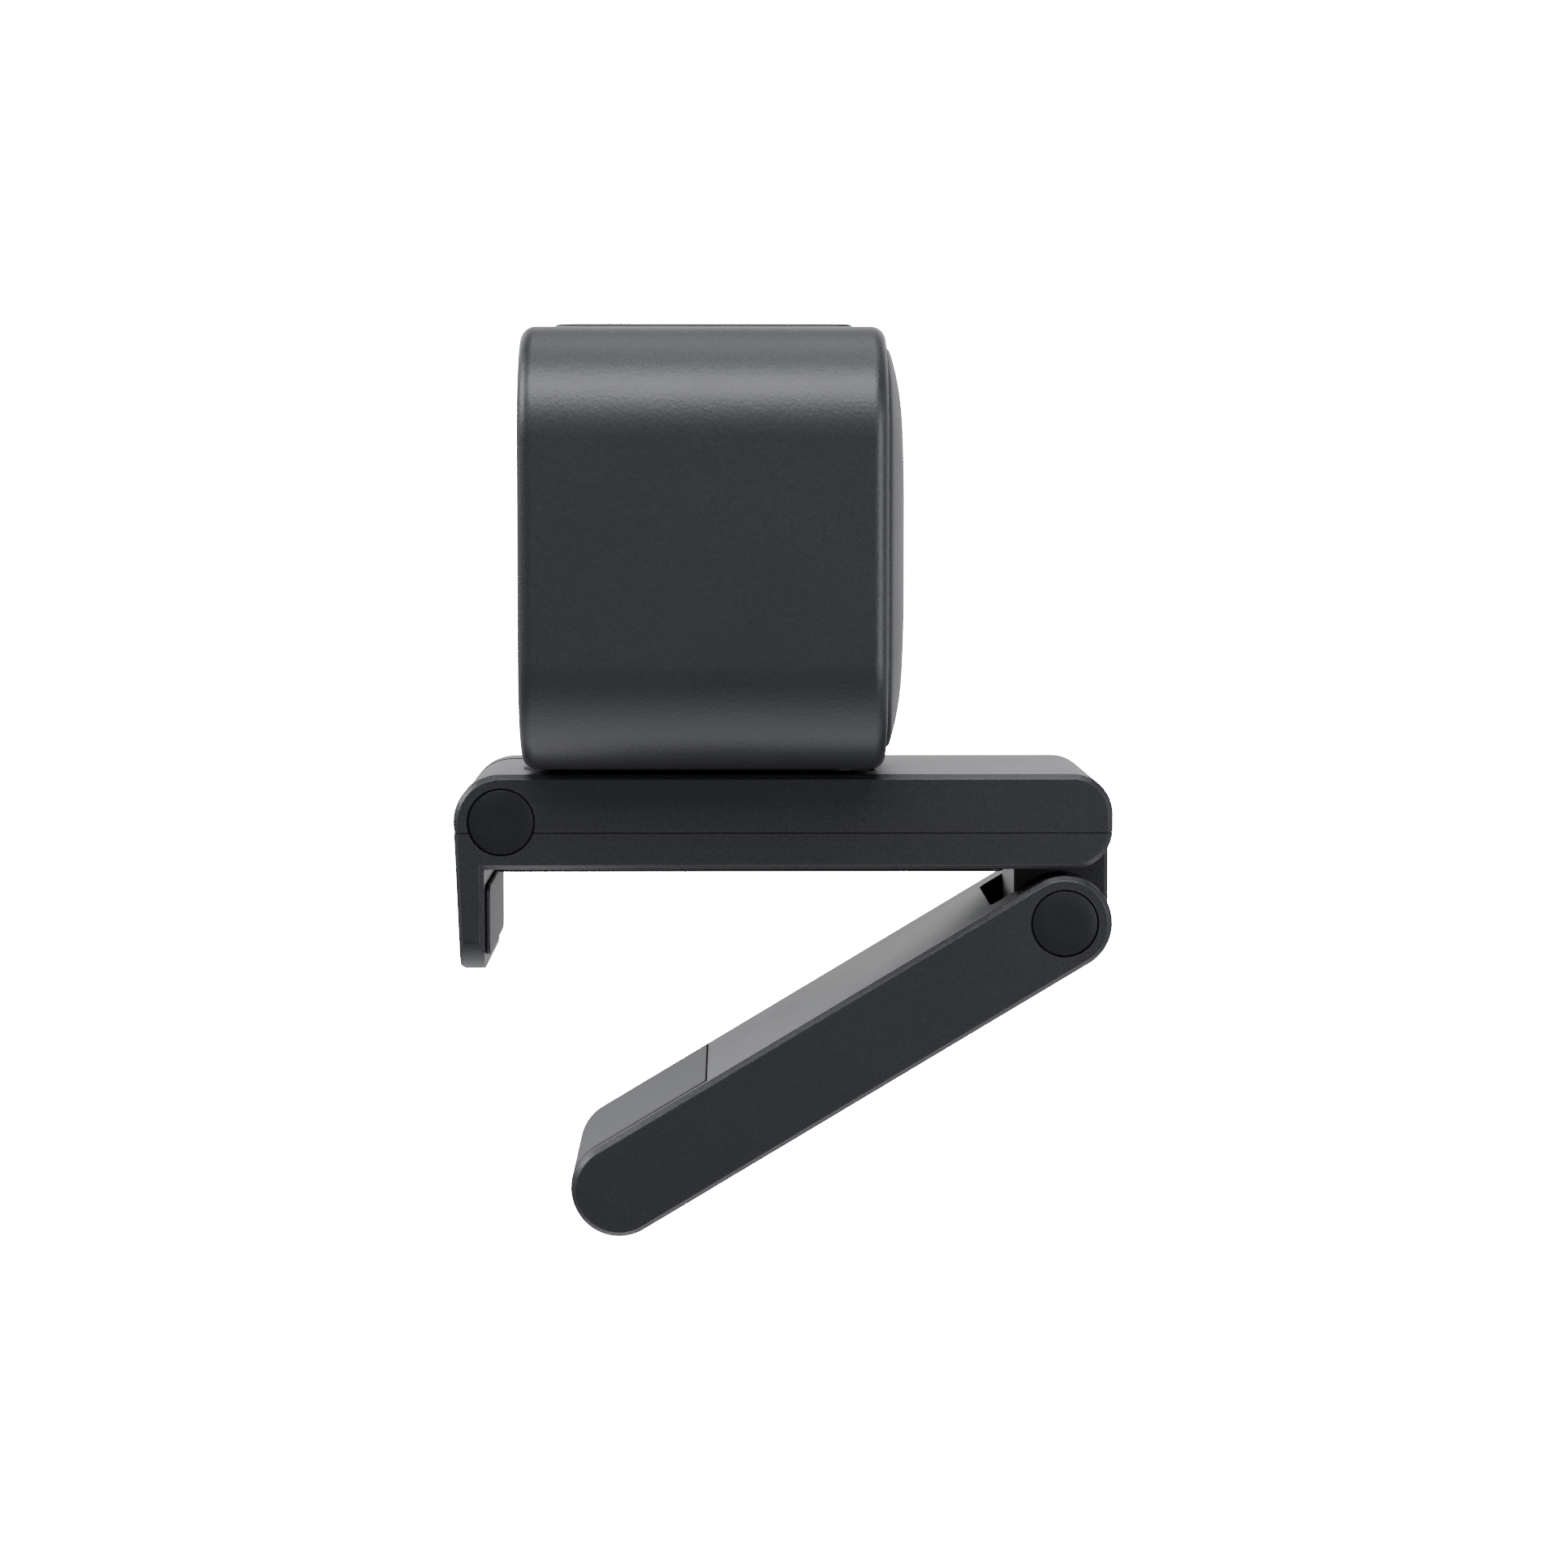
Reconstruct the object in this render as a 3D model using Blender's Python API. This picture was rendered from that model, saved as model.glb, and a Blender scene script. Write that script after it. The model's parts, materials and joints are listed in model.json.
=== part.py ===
"""Webcam on a fold-out monitor clip, as an assembly of separate pieces.

Frame: +Z up, the camera looks along -Y, X is the width. The origin is the middle of the clip
arm's rest pad, on the face that lies on the monitor. Sizes are in millimetres, and mesh
coordinates are turned to metres in one place, in solid().
"""

import math

import bmesh
import bpy
from mathutils import Matrix, Vector

MM = 0.001

# Driving dimensions: clip arm
ARM_WIDTH = 29.7
ARM_THICKNESS = 9.45
ARM_REAR_Y = 35.94
ARM_REAR_RADIUS = 4.0
EDGE_CHAMFER = 0.45
REST_PAD_HEIGHT = 0.43
REST_PAD_MARGIN = 2.35
REST_PAD_CORNER = 1.5
PARTING_SHARE = 0.3852
PARTING_GAP = 0.08
SHELL_FLOOR = 1.6

# Driving dimensions: front lip
LIP_THICKNESS = 3.0
LIP_TAPER = 0.6
LIP_DROP = 9.94
LIP_CORNER = 3.4
LIP_PAD_THICKNESS = 0.45
LIP_PAD_HEIGHT = 6.96
LIP_PAD_MARGIN = 1.95
LIP_PAD_RISE = 1.2

# Driving dimensions: hinges
FRONT_PIN_Y = -24.68
PIN_RADIUS = 1.5
CAP_RADIUS = 3.25
CAP_THICKNESS = 1.2
CAP_RECESS = 0.1
EAR_THICKNESS = 5.35
WASHER_RADIUS = 3.5
WASHER_THICKNESS = 0.9

# Driving dimensions: tilt bracket and swivel
BRACKET_DEPTH = 5.2
SEAT_HEIGHT = 0.3
SEAT_MARGIN = 0.7
SEAT_CORNER = 3.5
STUD_RADIUS = 2.5
STUD_HEAD_RADIUS = 4.3

# Driving dimensions: camera head
HEAD_WIDTH = 50.0
HEAD_HEIGHT = 43.6
HEAD_FRONT_Y = -22.5
HEAD_REAR_Y = 13.3
HEAD_CORNER = 11.0
HEAD_FILLET = 1.45
HEAD_WALL = 1.8
HEAD_LIFT = 0.5
COVER_RISE = 2.3
TOP_PLATE_LENGTH = 29.8
TOP_PLATE_WIDTH = 18.0
TOP_PLATE_PROUD = 0.45
WINDOW_RADIUS = 8.4
LENS_RADIUS = 6.0
TRIM_RING_WIDTH = 1.6
MICROPHONE_INSET = 14.0

# Driving dimensions: leg
LEG_LENGTH = 51.7
LEG_REST_ANGLE = 31.0
SLEEVE_START = 8.15
SLEEVE_END = 38.8
SLEEVE_MARGIN = 1.45
SLEEVE_THICKNESS = 0.93
SLEEVE_PROUD = 0.13

# Clearances between pieces
FIT = 0.3
SNUG = 0.1
RING_GAP = 0.12
PAD_GAP = 0.05

# Places that follow from the sizes above
ARM_HALF = ARM_WIDTH / 2
ARM_BOTTOM = REST_PAD_HEIGHT
ARM_TOP = ARM_BOTTOM + ARM_THICKNESS
ARM_RADIUS = ARM_THICKNESS / 2
PARTING_Z = ARM_BOTTOM + ARM_THICKNESS * PARTING_SHARE
FRONT_PIN_Z = ARM_BOTTOM + ARM_RADIUS
LEG_PIN_Y = ARM_REAR_Y - ARM_RADIUS
LEG_PIN_Z = ARM_BOTTOM - ARM_RADIUS - 0.675
SLOT_HALF = ARM_HALF - EAR_THICKNESS
SLOT_END = ARM_RADIUS + 0.715
TONGUE_HALF = SLOT_HALF - FIT
LIP_FRONT_Y = FRONT_PIN_Y - ARM_RADIUS
LIP_INNER_Y = LIP_FRONT_Y + LIP_THICKNESS
LIP_BOTTOM = ARM_BOTTOM - LIP_DROP
LIP_PAD_HALF = ARM_HALF - LIP_PAD_MARGIN
REST_PAD_HALF = ARM_HALF - REST_PAD_MARGIN
REST_PAD_FRONT_Y = FRONT_PIN_Y - 0.82
REST_PAD_REAR_Y = LEG_PIN_Y - ARM_RADIUS - 1.19
SLEEVE_HALF = ARM_HALF - SLEEVE_MARGIN
HEAD_BOTTOM = ARM_TOP + HEAD_LIFT
HEAD_TOP = HEAD_BOTTOM + HEAD_HEIGHT
HEAD_Z = (HEAD_BOTTOM + HEAD_TOP) / 2
HEAD_Y = (HEAD_FRONT_Y + HEAD_REAR_Y) / 2
BRACKET_REAR_Y = HEAD_REAR_Y - 1.4
SEAT_FRONT_Y = HEAD_FRONT_Y - 0.4
SEAT_HALF = TONGUE_HALF - SEAT_MARGIN
CAVITY_FRONT_Y = FRONT_PIN_Y
CAVITY_REAR_Y = BRACKET_REAR_Y + 2 * FIT
BEZEL_FACE_Y = HEAD_FRONT_Y + 0.5
BEZEL_BACK_Y = BEZEL_FACE_Y + 2.0
CHASSIS_FRONT_Y = HEAD_Y + 1.6
CHASSIS_THICKNESS = 2.2
CHASSIS_REAR_Y = CHASSIS_FRONT_Y + CHASSIS_THICKNESS
BOARD_THICKNESS = 1.2
MAIN_BOARD_Y = CHASSIS_REAR_Y + 3.1
SENSOR_BOARD_Y = CHASSIS_FRONT_Y - FIT - BOARD_THICKNESS
HOLDER_REAR_Y = SENSOR_BOARD_Y - FIT
HOLDER_FRONT_Y = HOLDER_REAR_Y - 8.2
POST_X = HEAD_WIDTH / 2 - 8.0
POST_Z = HEAD_HEIGHT / 2 - 9.8
USB_Z = HEAD_BOTTOM + 10.6
LIGHT_Z = HEAD_TOP - 6.8

# Materials: sRGB colour, roughness, metallic
FINISHES = {
    "shell_plastic": ("2C2D30", 0.5, 0.0),
    "cap_plastic": ("242528", 0.4, 0.0),
    "pad_rubber": ("303134", 0.8, 0.0),
    "gloss_plastic": ("0B0B0D", 0.08, 0.0),
    "window_glass": ("14151A", 0.03, 0.0),
    "lens_glass": ("1A2233", 0.02, 0.0),
    "trim_metal": ("5A5C60", 0.3, 1.0),
    "steel": ("9A9C9F", 0.3, 1.0),
    "brass": ("B08D4A", 0.3, 1.0),
    "aluminium": ("A9ACB0", 0.4, 1.0),
    "board": ("1E3A2A", 0.5, 0.0),
    "chip": ("18181A", 0.4, 0.0),
    "heat_pad": ("8FA3B5", 0.8, 0.0),
    "clear_plastic": ("C9D2D8", 0.15, 0.0),
}


def clear_scene():
    for item in list(bpy.data.objects):
        bpy.data.objects.remove(item, do_unlink=True)


def material(finish):
    """The Principled material of one finish, made once."""
    if finish in bpy.data.materials:
        return bpy.data.materials[finish]
    code, roughness, metallic = FINISHES[finish]
    made = bpy.data.materials.new(finish)
    made.use_nodes = True
    shader = made.node_tree.nodes["Principled BSDF"]
    channels = [int(code[i:i + 2], 16) / 255 for i in (0, 2, 4)]
    linear = [c / 12.92 if c <= 0.04045 else ((c + 0.055) / 1.055) ** 2.4 for c in channels]
    shader.inputs["Base Color"].default_value = (*linear, 1.0)
    shader.inputs["Roughness"].default_value = roughness
    shader.inputs["Metallic"].default_value = metallic
    return made


# Outlines: closed lists of points, in order round the shape

def arc(cx, cz, radius, start, end, steps):
    angles = [math.radians(start + (end - start) * i / steps) for i in range(steps + 1)]
    return [(cx + radius * math.cos(a), cz + radius * math.sin(a)) for a in angles]


def circle(cx, cz, radius, steps=32):
    return arc(cx, cz, radius, 0, 360 - 360 / steps, steps - 1)


def rectangle(cx, cz, half_w, half_h, radius=0.0, steps=6):
    if radius <= 0:
        return [(cx - half_w, cz - half_h), (cx + half_w, cz - half_h),
                (cx + half_w, cz + half_h), (cx - half_w, cz + half_h)]
    points = []
    for turn, sx, sz in ((270, 1, -1), (0, 1, 1), (90, -1, 1), (180, -1, -1)):
        corner_x = cx + sx * (half_w - radius)
        corner_z = cz + sz * (half_h - radius)
        points += arc(corner_x, corner_z, radius, turn, turn + 90, steps)
    return points


def between(x0, x1, z0, z1, radius=0.0, steps=6):
    return rectangle((x0 + x1) / 2, (z0 + z1) / 2, (x1 - x0) / 2, (z1 - z0) / 2, radius, steps)


def inset(points, distance):
    """The outline moved inwards, each corner along its mitre."""
    if distance == 0:
        return list(points)
    moved = []
    for i, here in enumerate(points):
        before, after = points[i - 1], points[(i + 1) % len(points)]
        a = Vector((here[0] - before[0], here[1] - before[1])).normalized()
        b = Vector((after[0] - here[0], after[1] - here[1])).normalized()
        na, nb = Vector((-a.y, a.x)), Vector((-b.y, b.x))
        shift = (na + nb) * (distance / (1 + na.dot(nb)))
        moved.append((here[0] + shift.x, here[1] + shift.y))
    return moved


def scaled(points, cx, cz, factor):
    return [(cx + (x - cx) * factor, cz + (z - cz) * factor) for x, z in points]


# Solids

ORDER = {
    "X": lambda u, v, w: (w, u, v),
    "Y": lambda u, v, w: (u, w, v),
    "Z": lambda u, v, w: (u, v, w),
}


class Assembly:
    """The pivots that pieces hang from, and the cutters made so far."""
    pivots = {}
    count = 0


def pivot(name, place, parent=None, turn=0.0):
    """An empty on a joint's axis. Pieces are drawn in the unturned frame."""
    empty = bpy.data.objects.new(name, None)
    bpy.context.scene.collection.objects.link(empty)
    offset = Vector(place)
    if parent:
        empty.parent = bpy.data.objects[parent]
        offset = offset - Assembly.pivots[parent]
    empty.location = offset * MM
    empty.rotation_euler.x = math.radians(turn)
    Assembly.pivots[name] = Vector(place)


def solid(name, rings, axis, finish, group):
    """A closed solid through rings of points, each ring (position, outline), along an axis."""
    mesh = bmesh.new()
    loops = [[mesh.verts.new(Vector(ORDER[axis](u, v, w)) * MM) for u, v in points] for w, points in rings]
    for low, high in zip(loops, loops[1:]):
        for i in range(len(low)):
            j = (i + 1) % len(low)
            mesh.faces.new((low[i], low[j], high[j], high[i]))
    mesh.faces.new(loops[0])
    mesh.faces.new(loops[-1])
    bmesh.ops.recalc_face_normals(mesh, faces=mesh.faces)
    data = bpy.data.meshes.new(name)
    mesh.to_mesh(data)
    mesh.free()
    made = bpy.data.objects.new(name, data)
    bpy.context.scene.collection.objects.link(made)
    if group:
        data.transform(Matrix.Translation(-Assembly.pivots[group] * MM))
        made.parent = bpy.data.objects[group]
    if finish:
        data.materials.append(material(finish))
    data.shade_smooth()
    data.set_sharp_from_angle(angle=math.radians(30))
    return made


def prism(name, points, low, high, axis, finish, group, chamfer=0.0):
    """An outline pushed straight along an axis, its two end edges chamfered."""
    if chamfer:
        rings = [(low, inset(points, chamfer)), (low + chamfer, points),
                 (high - chamfer, points), (high, inset(points, chamfer))]
    else:
        rings = [(low, points), (high, points)]
    return solid(name, rings, axis, finish, group)


def boolean(target, tool, operation):
    tool.hide_render = True
    tool.display_type = "WIRE"
    change = target.modifiers.new(operation.lower(), "BOOLEAN")
    change.operation = operation
    change.solver = "EXACT"
    change.object = tool


def cut(target, points, low, high, axis, group):
    """Takes a prism away from a piece."""
    Assembly.count += 1
    boolean(target, prism(f"cutter_{Assembly.count}", points, low, high, axis, None, group), "DIFFERENCE")


def fuse(target, tool):
    boolean(target, tool, "UNION")


def drill(target, u, v, radius, low, high, axis, group, steps=24):
    cut(target, circle(u, v, radius, steps), low, high, axis, group)


def disc(name, u, v, radius, low, high, axis, finish, group, bore=0.0, chamfer=0.0, steps=32):
    made = prism(name, circle(u, v, radius, steps), low, high, axis, finish, group, chamfer)
    if bore:
        drill(made, u, v, bore, low - 1, high + 1, axis, group, steps)
    return made


def screw(name, u, v, head, seat, tip, axis, finish, group, head_radius=1.9, shank_radius=0.8):
    """A pan-head screw: head from its outer face to its seat, then the shank to its tip."""
    rim = math.copysign(0.3, seat - head)
    rings = [(head, circle(u, v, head_radius - 0.3, 16)), (head + rim, circle(u, v, head_radius, 16)),
             (seat, circle(u, v, head_radius, 16)), (seat, circle(u, v, shank_radius, 16)),
             (tip, circle(u, v, shank_radius, 16))]
    made = solid(name, rings, axis, finish, group)
    depth = math.copysign(0.7, seat - head)
    low, high = sorted((head - depth, head + depth))
    cut(made, rectangle(u, v, head_radius * 0.6, 0.2), low, high, axis, group)
    cut(made, rectangle(u, v, 0.2, head_radius * 0.6), low, high, axis, group)
    return made


def hinge_caps(prefix, y, z, group):
    """Two flush caps over a pin's ends."""
    outer = ARM_HALF - CAP_RECESS
    for side, sign in (("right", 1), ("left", -1)):
        low, high = sorted((sign * outer, sign * (outer - CAP_THICKNESS)))
        disc(f"{prefix}_cap_{side}", y, z, CAP_RADIUS, low, high, "X", "cap_plastic", group, chamfer=0.12)


def hinge_bore(piece, y, z, group):
    """The pin's bore and the two cap pockets through a pair of ears."""
    drill(piece, y, z, PIN_RADIUS + SNUG, -ARM_HALF - 1, ARM_HALF + 1, "X", group)
    pocket = ARM_HALF - CAP_RECESS - CAP_THICKNESS - SNUG
    for sign in (1, -1):
        low, high = sorted((sign * pocket, sign * (ARM_HALF + 1)))
        drill(piece, y, z, CAP_RADIUS + RING_GAP, low, high, "X", group, 32)


def hinge_pin(name, y, z, group):
    reach = ARM_HALF - CAP_RECESS - CAP_THICKNESS - 2 * SNUG
    disc(name, y, z, PIN_RADIUS, -reach, reach, "X", "steel", group, chamfer=0.2, steps=24)


def washers(prefix, y, z, group):
    """Friction washers in the side pockets of a hinge's middle knuckle."""
    outer = SLOT_HALF - SNUG
    for side, sign in (("right", 1), ("left", -1)):
        low, high = sorted((sign * outer, sign * (outer - WASHER_THICKNESS)))
        disc(f"{prefix}_washer_{side}", y, z, WASHER_RADIUS, low, high, "X", "steel", group,
             bore=PIN_RADIUS + SNUG, steps=24)


def knuckle_bore(piece, y, z, group):
    drill(piece, y, z, PIN_RADIUS + SNUG, -ARM_HALF, ARM_HALF, "X", group)
    pocket = SLOT_HALF - SNUG - WASHER_THICKNESS - SNUG
    for sign in (1, -1):
        low, high = sorted((sign * pocket, sign * (SLOT_HALF + 1)))
        drill(piece, y, z, WASHER_RADIUS + SNUG, low, high, "X", group)


# Clip arm

ARM = "clip_arm"
TILT = "tilt_axis"
PAN = "pan_axis"
LEG = "leg_axis"
FAR = 60.0


def arm_outline():
    """The arm from the side: round front end, rounded rear corners."""
    rear = ARM_REAR_Y - ARM_REAR_RADIUS
    return (arc(FRONT_PIN_Y, FRONT_PIN_Z, ARM_RADIUS, 90, 270, 24)
            + arc(rear, ARM_BOTTOM + ARM_REAR_RADIUS, ARM_REAR_RADIUS, 270, 360, 8)
            + arc(rear, ARM_TOP - ARM_REAR_RADIUS, ARM_REAR_RADIUS, 0, 90, 8))


def lip_and_arm_outline():
    """The lower shell from the side: the lip's tapered outer face runs up into the arm."""
    rear = ARM_REAR_Y - ARM_REAR_RADIUS
    foot = LIP_FRONT_Y + LIP_TAPER
    return ([(LIP_FRONT_Y, ARM_TOP - 2), (LIP_FRONT_Y, FRONT_PIN_Z), (foot, LIP_BOTTOM + 0.5),
             (foot + 0.5, LIP_BOTTOM), (LIP_INNER_Y, LIP_BOTTOM), (LIP_INNER_Y, ARM_BOTTOM)]
            + arc(rear, ARM_BOTTOM + ARM_REAR_RADIUS, ARM_REAR_RADIUS, 270, 360, 8)
            + [(ARM_REAR_Y, ARM_TOP - 2)])


def hollow_arm_shell(shell, low, high):
    """The tongue's slot between the ears, and the closed hollow behind it."""
    cut(shell, between(-SLOT_HALF, SLOT_HALF, CAVITY_FRONT_Y, CAVITY_REAR_Y), low, high, "Z", ARM)
    drill(shell, FRONT_PIN_Y, FRONT_PIN_Z, ARM_RADIUS + SNUG, -SLOT_HALF, SLOT_HALF, "X", ARM, 40)


def arm_screw_places():
    x = SLOT_HALF + 1.4
    return [(side * x, y) for y in (-12.0, 19.0) for side in (-1, 1)]


def make_arm_upper_shell():
    shell = prism("arm_upper_shell", arm_outline(), -ARM_HALF, ARM_HALF, "X",
                  "shell_plastic", ARM, EDGE_CHAMFER)
    cut(shell, between(-FAR, FAR, -FAR, FAR), -FAR, PARTING_Z + PARTING_GAP / 2, "Z", ARM)
    cut(shell, between(-SLOT_HALF, SLOT_HALF, -FAR, CAVITY_FRONT_Y + 1), -FAR, FAR, "Z", ARM)
    hollow_arm_shell(shell, -FAR, FAR)
    cut(shell, between(-SLOT_HALF, SLOT_HALF, CAVITY_REAR_Y + SHELL_FLOOR, ARM_REAR_Y - SHELL_FLOOR),
        -FAR, ARM_TOP - SHELL_FLOOR, "Z", ARM)
    hinge_bore(shell, FRONT_PIN_Y, FRONT_PIN_Z, ARM)
    for x, y in arm_screw_places():
        drill(shell, x, y, 0.8, -FAR, ARM_TOP - 2.0, "Z", ARM, 12)


def make_arm_lower_shell():
    shell = prism("arm_lower_shell", lip_and_arm_outline(), -ARM_HALF, ARM_HALF, "X",
                  "shell_plastic", ARM, EDGE_CHAMFER)
    block = ([(LEG_PIN_Y + ARM_RADIUS, ARM_TOP - 3), (LEG_PIN_Y - ARM_RADIUS, ARM_TOP - 3)]
             + arc(LEG_PIN_Y, LEG_PIN_Z, ARM_RADIUS, 180, 360, 24))
    knuckle = SLOT_HALF - FIT / 2
    fuse(shell, prism("rear_knuckle", block, -knuckle, knuckle, "X", None, ARM, 0.3))
    cut(shell, between(-FAR, FAR, -FAR, FAR), PARTING_Z - PARTING_GAP / 2, FAR, "Z", ARM)
    hollow_arm_shell(shell, ARM_BOTTOM + SHELL_FLOOR, FAR)
    cut(shell, between(-SLOT_HALF, SLOT_HALF, CAVITY_REAR_Y + SHELL_FLOOR, ARM_REAR_Y - SHELL_FLOOR),
        ARM_BOTTOM + SHELL_FLOOR, FAR, "Z", ARM)
    corner_x = ARM_HALF - LIP_CORNER
    corner_z = LIP_BOTTOM + LIP_CORNER
    corner = (arc(corner_x, corner_z, LIP_CORNER, 270, 360, 8)
              + [(FAR, corner_z), (FAR, LIP_BOTTOM - 1), (corner_x, LIP_BOTTOM - 1)])
    mirrored = [(-x, z) for x, z in reversed(corner)]
    for outline in (corner, mirrored):
        cut(shell, outline, LIP_FRONT_Y - 1, LIP_INNER_Y + 1, "Y", ARM)
    hinge_bore(shell, FRONT_PIN_Y, FRONT_PIN_Z, ARM)
    knuckle_bore(shell, LEG_PIN_Y, LEG_PIN_Z, ARM)
    for x, y in arm_screw_places():
        drill(shell, x, y, 0.9, -FAR, FAR, "Z", ARM, 12)
        drill(shell, x, y, 1.5, -FAR, ARM_BOTTOM + 1.4, "Z", ARM, 16)


def make_arm_fittings():
    make_arm_upper_shell()
    make_arm_lower_shell()
    face = between(-REST_PAD_HALF, REST_PAD_HALF, REST_PAD_FRONT_Y, REST_PAD_REAR_Y, REST_PAD_CORNER)
    prism("arm_rest_pad", face, 0, REST_PAD_HEIGHT - PAD_GAP, "Z", "pad_rubber", ARM, 0.1)
    low = LIP_BOTTOM + LIP_PAD_RISE
    face = between(-LIP_PAD_HALF, LIP_PAD_HALF, low, low + LIP_PAD_HEIGHT, 1.2)
    back = LIP_INNER_Y + PAD_GAP
    prism("lip_pad", face, back, back + LIP_PAD_THICKNESS, "Y", "pad_rubber", ARM, 0.1)
    hinge_pin("front_pin", FRONT_PIN_Y, FRONT_PIN_Z, ARM)
    hinge_caps("front", FRONT_PIN_Y, FRONT_PIN_Z, ARM)
    washers("leg", LEG_PIN_Y, LEG_PIN_Z, ARM)
    for i, (x, y) in enumerate(arm_screw_places(), 1):
        screw(f"arm_screw_{i}", x, y, ARM_BOTTOM + 0.15, ARM_BOTTOM + 1.3, ARM_TOP - 2.6, "Z", "steel", ARM,
              head_radius=1.35, shank_radius=0.65)


# Tilt bracket and swivel

def make_tilt_bracket():
    radius = ARM_RADIUS - PAD_GAP
    top = FRONT_PIN_Z + radius
    bottom = top - BRACKET_DEPTH
    drop = math.degrees(math.asin((FRONT_PIN_Z - bottom) / radius))
    side = (arc(FRONT_PIN_Y, FRONT_PIN_Z, radius, 90, 360 - drop, 32)
            + [(BRACKET_REAR_Y, bottom), (BRACKET_REAR_Y, top)])
    bracket = prism("tilt_bracket", side, -TONGUE_HALF, TONGUE_HALF, "X", "shell_plastic", TILT, 0.25)
    seat = between(-SEAT_HALF, SEAT_HALF, SEAT_FRONT_Y, BRACKET_REAR_Y - 0.5, SEAT_CORNER)
    fuse(bracket, prism("seat_plate", seat, top - 1, ARM_TOP + SEAT_HEIGHT, "Z", None, TILT))
    drill(bracket, 0, HEAD_Y, STUD_RADIUS + SNUG, -FAR, FAR, "Z", TILT)
    knuckle_bore(bracket, FRONT_PIN_Y, FRONT_PIN_Z, TILT)
    washers("bracket", FRONT_PIN_Y, FRONT_PIN_Z, TILT)


def make_swivel():
    underside = ARM_TOP - PAD_GAP - BRACKET_DEPTH
    floor = HEAD_BOTTOM + HEAD_WALL
    rings = [(underside - FIT - 1.4, circle(0, HEAD_Y, STUD_HEAD_RADIUS, 24)),
             (underside - FIT, circle(0, HEAD_Y, STUD_HEAD_RADIUS, 24)),
             (underside - FIT, circle(0, HEAD_Y, STUD_RADIUS, 24)),
             (floor + 3.9, circle(0, HEAD_Y, STUD_RADIUS, 24)),
             (floor + 4.2, circle(0, HEAD_Y, STUD_RADIUS - 0.3, 24))]
    solid("pan_stud", rings, "Z", "steel", TILT)
    disc("pan_spring_washer", 0, HEAD_Y, 4.4, floor + FIT, floor + FIT + 0.6, "Z", "steel", TILT,
         bore=STUD_RADIUS + SNUG, steps=24)
    nut_low = floor + 2 * FIT + 0.6
    nut = prism("pan_nut", circle(0, HEAD_Y, 4.2, 6), nut_low, nut_low + 2.2, "Z", "steel", TILT)
    drill(nut, 0, HEAD_Y, STUD_RADIUS + SNUG, nut_low - 1, nut_low + 4, "Z", TILT)


# Camera head

def head_outline(reduce=0.0, steps=10):
    return rectangle(0, HEAD_Z, HEAD_WIDTH / 2 - reduce, HEAD_HEIGHT / 2 - reduce,
                     max(HEAD_CORNER - reduce, 0.5), steps)


def filleted(outline, low, high, radius, steps=4):
    """Rings along a prism whose two end edges are rounded."""
    angles = [math.radians(90 * i / steps) for i in range(steps + 1)]
    front = [(low + radius * (1 - math.cos(a)), outline(radius * (1 - math.sin(a)))) for a in angles]
    rear = [(high - radius * (1 - math.cos(a)), outline(radius * (1 - math.sin(a))))
            for a in reversed(angles)]
    return front + rear


def make_head_housing():
    housing = solid("head_housing", filleted(head_outline, HEAD_FRONT_Y, HEAD_REAR_Y, HEAD_FILLET),
                    "Y", "shell_plastic", PAN)
    cut(housing, head_outline(HEAD_WALL), HEAD_FRONT_Y - 5, HEAD_REAR_Y + 5, "Y", PAN)
    drill(housing, 0, HEAD_Y, STUD_RADIUS + FIT, -FAR, HEAD_BOTTOM + 5, "Z", PAN)
    recess = HEAD_TOP - 0.85
    half_x = TOP_PLATE_WIDTH / 2
    half_y = TOP_PLATE_LENGTH / 2
    pocket = rectangle(0, HEAD_Y, half_x + RING_GAP, half_y + RING_GAP, 3.0 + RING_GAP, 5)
    cut(housing, pocket, recess, HEAD_TOP + 5, "Z", PAN)
    plate = rectangle(0, HEAD_Y, half_x, half_y, 3.0, 5)
    prism("top_plate", plate, recess + SNUG, HEAD_TOP + TOP_PLATE_PROUD, "Z", "shell_plastic", PAN, 0.15)


def make_rear_cover():
    """A skirt inside the housing, and a shallow dome with a rounded rim."""
    edge = head_outline(HEAD_WALL + FIT)
    rings = [(HEAD_REAR_Y - 3.0, edge), (HEAD_REAR_Y + 0.1, edge)]
    rim_share = 0.33
    for step in (0.0, 0.02, 0.05, 0.09, 0.14, 0.2, 0.28, 0.36, 0.46, 0.58, 0.72, 0.88):
        factor = 0.985 - step
        crown = 0.55 * (1 - factor ** 2)
        rim = 0.36 * (1 - (1 - min(1, (1 - factor) / rim_share)) ** 2)
        lift = 0.3 + (COVER_RISE - 0.3) * (crown + rim) / 0.91
        rings.append((HEAD_REAR_Y + lift, scaled(edge, 0, HEAD_Z, factor)))
    cover = solid("rear_cover", rings, "Y", "shell_plastic", PAN)
    cut(cover, head_outline(HEAD_WALL + FIT + 1.5), HEAD_REAR_Y - 5, HEAD_REAR_Y - 1.2, "Y", PAN)
    cut(cover, rectangle(0, USB_Z, 6.3, 3.4, 3.3, 6), HEAD_REAR_Y - 5, HEAD_REAR_Y + 5, "Y", PAN)


def post_places():
    return [(x, HEAD_Z + z) for x in (-POST_X, POST_X) for z in (-POST_Z, POST_Z)]


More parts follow.
